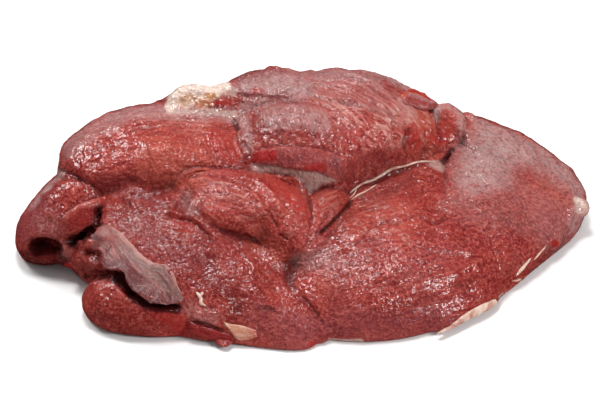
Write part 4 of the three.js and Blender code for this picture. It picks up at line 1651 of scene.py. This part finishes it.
def meatMaterial(look):
    material, tree = startMaterial("raw_meat")
    place = addNode(tree, "ShaderNodeTexCoord").outputs["Object"]
    grain = attribute(tree, "grain", "Vector")
    strength = attribute(tree, "fibre")

    def times(a, b):
        return maths(tree, "MULTIPLY", a, b)

    def plus(a, b, clamp=False):
        return maths(tree, "ADD", a, b, clamp)

    def layers(colour, rows):
        # each row is a value, where it starts and where it is full, how much it covers, a colour
        for value, low, high, amount, other in rows:
            colour = mixColour(tree, times(mapValue(tree, value, low, high), amount), colour, look[other])
        return colour

    # colour: slow patches, then streaks along the fibres, then flecks down to half a millimetre
    patches = noise(tree, place, 38, 4, 0.6)
    cast = noise(tree, place, 21, 3, 0.6)
    streaks = noise(tree, grain, 0.9, 4, 0.6)
    threads = noise(tree, grain, 2.0, 2, 0.6)
    flecks = noise(tree, place, 330, 3, 0.65)
    grit = noise(tree, place, 640, 2, 0.65)
    colour = mixColour(tree, mapValue(tree, patches, 0.33, 0.68), look["red"], look["rose"])
    colour = layers(colour, [
        (cast, 0.5, 0.68, 0.6, "cool"), (cast, 0.5, 0.32, 0.5, "warm"),
        (streaks, 0.55, 0.3, 0.5, "deep"), (streaks, 0.5, 0.72, 0.35, "pale"),
        (threads, 0.5, 0.3, times(strength, 0.4), "deep"),
        (threads, 0.5, 0.72, times(strength, 0.45), "pale"),
    ])
    rosyAmount = times(attribute(tree, "rosy"), mapValue(tree, streaks, 0.35, 0.6, 0.35, 0.8))
    colour = mixColour(tree, rosyAmount, colour, look["rosy"])
    colour = mixColour(tree, times(attribute(tree, "lilac"), 0.7), colour, look["lilac"])
    # Painted shade in hollows and creases, and painted light on crests.
    hollowShadeAmount = attribute(tree, "hollowShade")
    colour = layers(colour, [
        (flecks, 0.5, 0.68, 0.25, "pale"), (flecks, 0.42, 0.28, 0.1, "deep"),
        (grit, 0.52, 0.64, 0.7, "pale"), (grit, 0.44, 0.34, 0.4, "deep"),
        (hollowShadeAmount, 0.05, 0.7, 0.65, "deep"), (hollowShadeAmount, 0.0, -0.4, 0.3, "pale"),
    ])
    # Painted shade where the surface lies in less light.
    colour = mixColour(tree, times(attribute(tree, "dusk"), 0.6), colour, look["deep"])

    # what lies on the cut face, each under a texture of its own; the membrane carries a painted sheen and the
    # blood also paints shade in crevices
    combed = noise(tree, grain, 1.3, 1, 0.5)
    membraneSheenGrain = times(mapValue(tree, flecks, 0.32, 0.56, 0.45, 1.0),
                       mapValue(tree, grit, 0.34, 0.52, 0.6, 1.0))
    for name, texture in [
        ("sinew", mapValue(tree, combed, 0.46, 0.63, 0.05, 0.8)), ("bloom", membraneSheenGrain), ("bright", 1.0),
        ("skin", mapValue(tree, threads, 0.3, 0.6, 0.7, 1.0)),
        ("fat", mapValue(tree, flecks, 0.28, 0.55, 0.7, 1.0)),
        ("amber", 1.0), ("bloodAndShade", 0.88),
    ]:
        colour = mixColour(tree, times(attribute(tree, name), texture), colour, look[name])

    # relief too fine for the mesh: fibres, wrinkles and the wet grit of the cut face
    fibres = times(noise(tree, grain, 1.5, 3, 0.6), strength)
    relief = plus(times(fibres, 0.5), times(times(threads, strength), 0.4))
    relief = plus(relief, times(noise(tree, place, 300, 2, 0.55), 0.42))
    bump = bumpNode(tree, plus(relief, times(grit, 1.3)), 0.001)
    glaze = attribute(tree, "glaze")
    beaded = plus(relief, times(noise(tree, place, 520, 1, 0.5), 1.4))
    film = bumpNode(tree, times(beaded, mapValue(tree, glaze, 0.0, 1.0, 1.0, 0.6, smooth=False)), 0.0005)

    # damp and dry places of the film
    damp = noise(tree, place, 95, 3, 0.6)
    calm = mapValue(tree, attribute(tree, "calm"), 0.0, 1.0, 1.0, 0.25)
    coat = plus(times(mapValue(tree, damp, 0.38, 0.6, 0.45, 1.0), calm), times(glaze, 0.5), clamp=True)
    wetShader(tree, colour, mapValue(tree, damp, 0.35, 0.7, 0.26, 0.42), bump, look["wet"], film, coat)
    return material


# The thin pieces: colours from one edge to the other, streaks along the fibres, and how wet they are.
sheetLooks = {
    # The silverskin flap darkens towards its lower edge as painted shade under its curl.
    "silverskinFlap": dict(
        name="silverskin", rim=(0.42, 0.19, 0.16, 1), rimWidth=0.07, start=(0.25, 0.050, 0.044, 1),
        middle=(0.18, 0.088, 0.080, 1), low=(0.09, 0.016, 0.018, 1), streak=(0.40, 0.085, 0.08, 1),
        dark=(0.15, 0.022, 0.024, 1), pale=(0.46, 0.25, 0.22, 1), relief=0.5, grit=0.5,
        wet=dict(glow=0.1, coat=0.7, coatRoughness=0.16),
    ),
    # The near-black upper edge of the dark flap is a painted shadow where it tucks under the meat above.
    "darkFlap": dict(
        name="dark_meat", rim=(0.10, 0.005, 0.006, 1), rimWidth=0.08, start=(0.20, 0.012, 0.014, 1),
        middle=(0.23, 0.014, 0.015, 1), low=(0.26, 0.022, 0.021, 1), streak=(0.30, 0.03, 0.028, 1),
        dark=(0.09, 0.004, 0.005, 1), pale=(0.40, 0.07, 0.06, 1), relief=0.5, grit=0.6,
        wet=dict(glow=0.1, coat=0.8, coatRoughness=0.12),
    ),
    "tendonEnd": dict(
        name="tendon", rim=(0.62, 0.34, 0.24, 1), rimWidth=0.05, start=(0.74, 0.47, 0.34, 1),
        middle=(0.56, 0.25, 0.16, 1), low=(0.50, 0.19, 0.125, 1), end=(0.34, 0.05, 0.04, 1),
        streak=(0.60, 0.34, 0.25, 1), dark=(0.40, 0.12, 0.08, 1), pale=(0.78, 0.58, 0.46, 1), relief=0.35,
        grit=0.3, wet=dict(glow=0.2, coat=0.8, coatRoughness=0.1),
    ),
    "scrapRim": dict(
        name="cut_scrap", rim=(0.44, 0.055, 0.03, 1), rimWidth=0.42, start=(0.40, 0.09, 0.08, 1),
        middle=(0.36, 0.19, 0.19, 1), low=(0.26, 0.03, 0.03, 1), streak=(0.42, 0.15, 0.14, 1),
        dark=(0.16, 0.02, 0.02, 1), pale=(0.55, 0.30, 0.26, 1), relief=0.5, grit=0.5,
        wet=dict(glow=0.1, coat=0.9, coatRoughness=0.12),
    ),
}


def sheetMaterial(look):
    material, tree = startMaterial(look["name"])
    place = addNode(tree, "ShaderNodeTexCoord").outputs["Object"]
    grain = attribute(tree, "grain", "Vector")
    cast = noise(tree, place, 90, 3, 0.6)
    edgeWander = mapValue(tree, cast, 0.3, 0.7, -0.12, 0.12, smooth=False)
    share = maths(tree, "ADD", attribute(tree, "share"), edgeWander)
    low = maths(tree, "ADD", attribute(tree, "low"), edgeWander)
    streaks = noise(tree, grain, 0.9, 4, 0.6)
    threads = noise(tree, grain, 2.4, 3, 0.65)
    flecks = noise(tree, place, 900, 2, 0.6)
    colour = mixColour(tree, mapValue(tree, share, 0.08, 0.32), look["start"], look["middle"])
    colour = mixColour(tree, mapValue(tree, low, 0.42, 0.72), colour, look["low"])
    rim = mapValue(tree, low, look["rimWidth"] + 0.08, look["rimWidth"] - 0.05)
    colour = mixColour(tree, rim, colour, look["rim"])
    if "end" in look:
        colour = mixColour(tree, mapValue(tree, share, 0.55, 0.95), colour, look["end"])
    for value, far, near, amount, other in [
        (streaks, 0.5, 0.7, 0.6, "streak"), (streaks, 0.48, 0.3, 0.5, "dark"),
        (threads, 0.5, 0.72, 0.6, "pale"), (threads, 0.48, 0.28, 0.45, "dark"),
        (flecks, 0.5, 0.72, 0.3, "pale"), (flecks, 0.48, 0.3, 0.3, "dark"),
    ]:
        amount = maths(tree, "MULTIPLY", mapValue(tree, value, far, near), amount)
        colour = mixColour(tree, amount, colour, look[other])
    relief = maths(tree, "ADD", maths(tree, "MULTIPLY", streaks, look["relief"]),
                   maths(tree, "MULTIPLY", threads, look["relief"]))
    relief = maths(tree, "ADD", relief, maths(tree, "MULTIPLY", flecks, look["grit"]))
    bump = bumpNode(tree, relief, 0.0006)
    wetShader(tree, colour, mapValue(tree, cast, 0.35, 0.7, 0.3, 0.45), bump, look["wet"])
    return material


fatLook = dict(
    pale=(0.74, 0.56, 0.47, 1), body=(0.60, 0.37, 0.29, 1), pink=(0.46, 0.16, 0.13, 1),
    wet=dict(glow=0.2, coat=0.8, coatRoughness=0.1))


def fatMaterial(look):
    material, tree = startMaterial("pale_fat")
    place = addNode(tree, "ShaderNodeTexCoord").outputs["Object"]
    patches = noise(tree, place, 210, 3, 0.6)
    flecks = noise(tree, place, 1100, 2, 0.6)
    colour = mixColour(tree, mapValue(tree, patches, 0.45, 0.65), look["body"], look["pale"])
    for value, far, near, amount in [(patches, 0.5, 0.32, 0.8), (flecks, 0.5, 0.3, 0.4)]:
        amount = maths(tree, "MULTIPLY", mapValue(tree, value, far, near), amount)
        colour = mixColour(tree, amount, colour, look["pink"])
    relief = maths(tree, "ADD", maths(tree, "MULTIPLY", patches, 0.8), maths(tree, "MULTIPLY", flecks, 0.4))
    bump = bumpNode(tree, relief, 0.0005)
    wetShader(tree, colour, mapValue(tree, patches, 0.3, 0.7, 0.25, 0.4), bump, look["wet"])
    return material


print("materials")
meat.data.materials.append(meatMaterial(meatLook))
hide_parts(meatNode)
paleFat = fatMaterial(fatLook)
for name, piece in pieces.items():
    piece.data.materials.append(sheetMaterial(sheetLooks[name]) if name in sheetLooks else paleFat)
for piece in [meat, *pieces.values()]:
    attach(piece, "root")


def plainMaterial(name, colour, roughness):
    material = bpy.data.materials.new(name)
    material.use_nodes = True
    shader = material.node_tree.nodes["Principled BSDF"]
    shader.inputs["Base Color"].default_value = colour
    shader.inputs["Roughness"].default_value = roughness
    return material


stageLook = dict(size=6.0, colour=(0.9, 0.9, 0.9, 1), roughness=0.7)


def makeFloor(look):
    half = look["size"] / 2
    data = bpy.data.meshes.new("floor")
    corners = [(-half, -half, 0), (half, -half, 0), (half, half, 0), (-half, half, 0)]
    data.from_pydata(corners, [], [(0, 1, 2, 3)])
    floor = placed("floor", data)
    data.materials.append(plainMaterial("pale_floor", look["colour"], look["roughness"]))
    floor.visible_glossy = False


worldLight = dict(strength=0.34, glossy=False)

# Window light from behind and above, a lower one from the left and a small one from the right in front.
lamps = {
    "overhead": dict(place=(-0.1, 0.12, 1.1), aim=(0, 0, 0.02), size=(0.3, 0.3), power=7.8),
    "behind": dict(place=(0.1, 1.35, 0.7), aim=(0, 0, 0.02), size=(1.8, 0.7), power=9.0, glossy=False),
    "leftBehind": dict(place=(-0.76, 0.44, 0.82), aim=(0, 0, 0.02), size=(0.4, 0.3), power=6.5),
    "rightFront": dict(place=(0.8, -0.56, 0.69), aim=(0, 0, 0.02), size=(0.36, 0.26), power=7.0),
}


def makeLamps(lamps):
    for name, lamp in lamps.items():
        data = bpy.data.lights.new(name, "AREA")
        data.shape = "RECTANGLE"
        data.size, data.size_y = lamp["size"]
        data.energy = lamp["power"]
        holder = placed(name, data)
        holder.visible_glossy = lamp.get("glossy", True)
        holder.location = lamp["place"]
        way = Vector(lamp["aim"]) - Vector(lamp["place"])
        holder.rotation_euler = way.to_track_quat("-Z", "Y").to_euler()


print("stage")
makeFloor(stageLook)
makeLamps(lamps)
world = bpy.data.worlds.new("studio")
world.use_nodes = True
world.node_tree.nodes["Background"].inputs["Color"].default_value = (1, 1, 1, 1)
world.node_tree.nodes["Background"].inputs["Strength"].default_value = worldLight["strength"]
world.cycles_visibility.glossy = worldLight["glossy"]
bpy.context.scene.world = world
bpy.context.scene.view_settings.view_transform = "Standard"
bpy.context.scene.view_settings.look = "None"
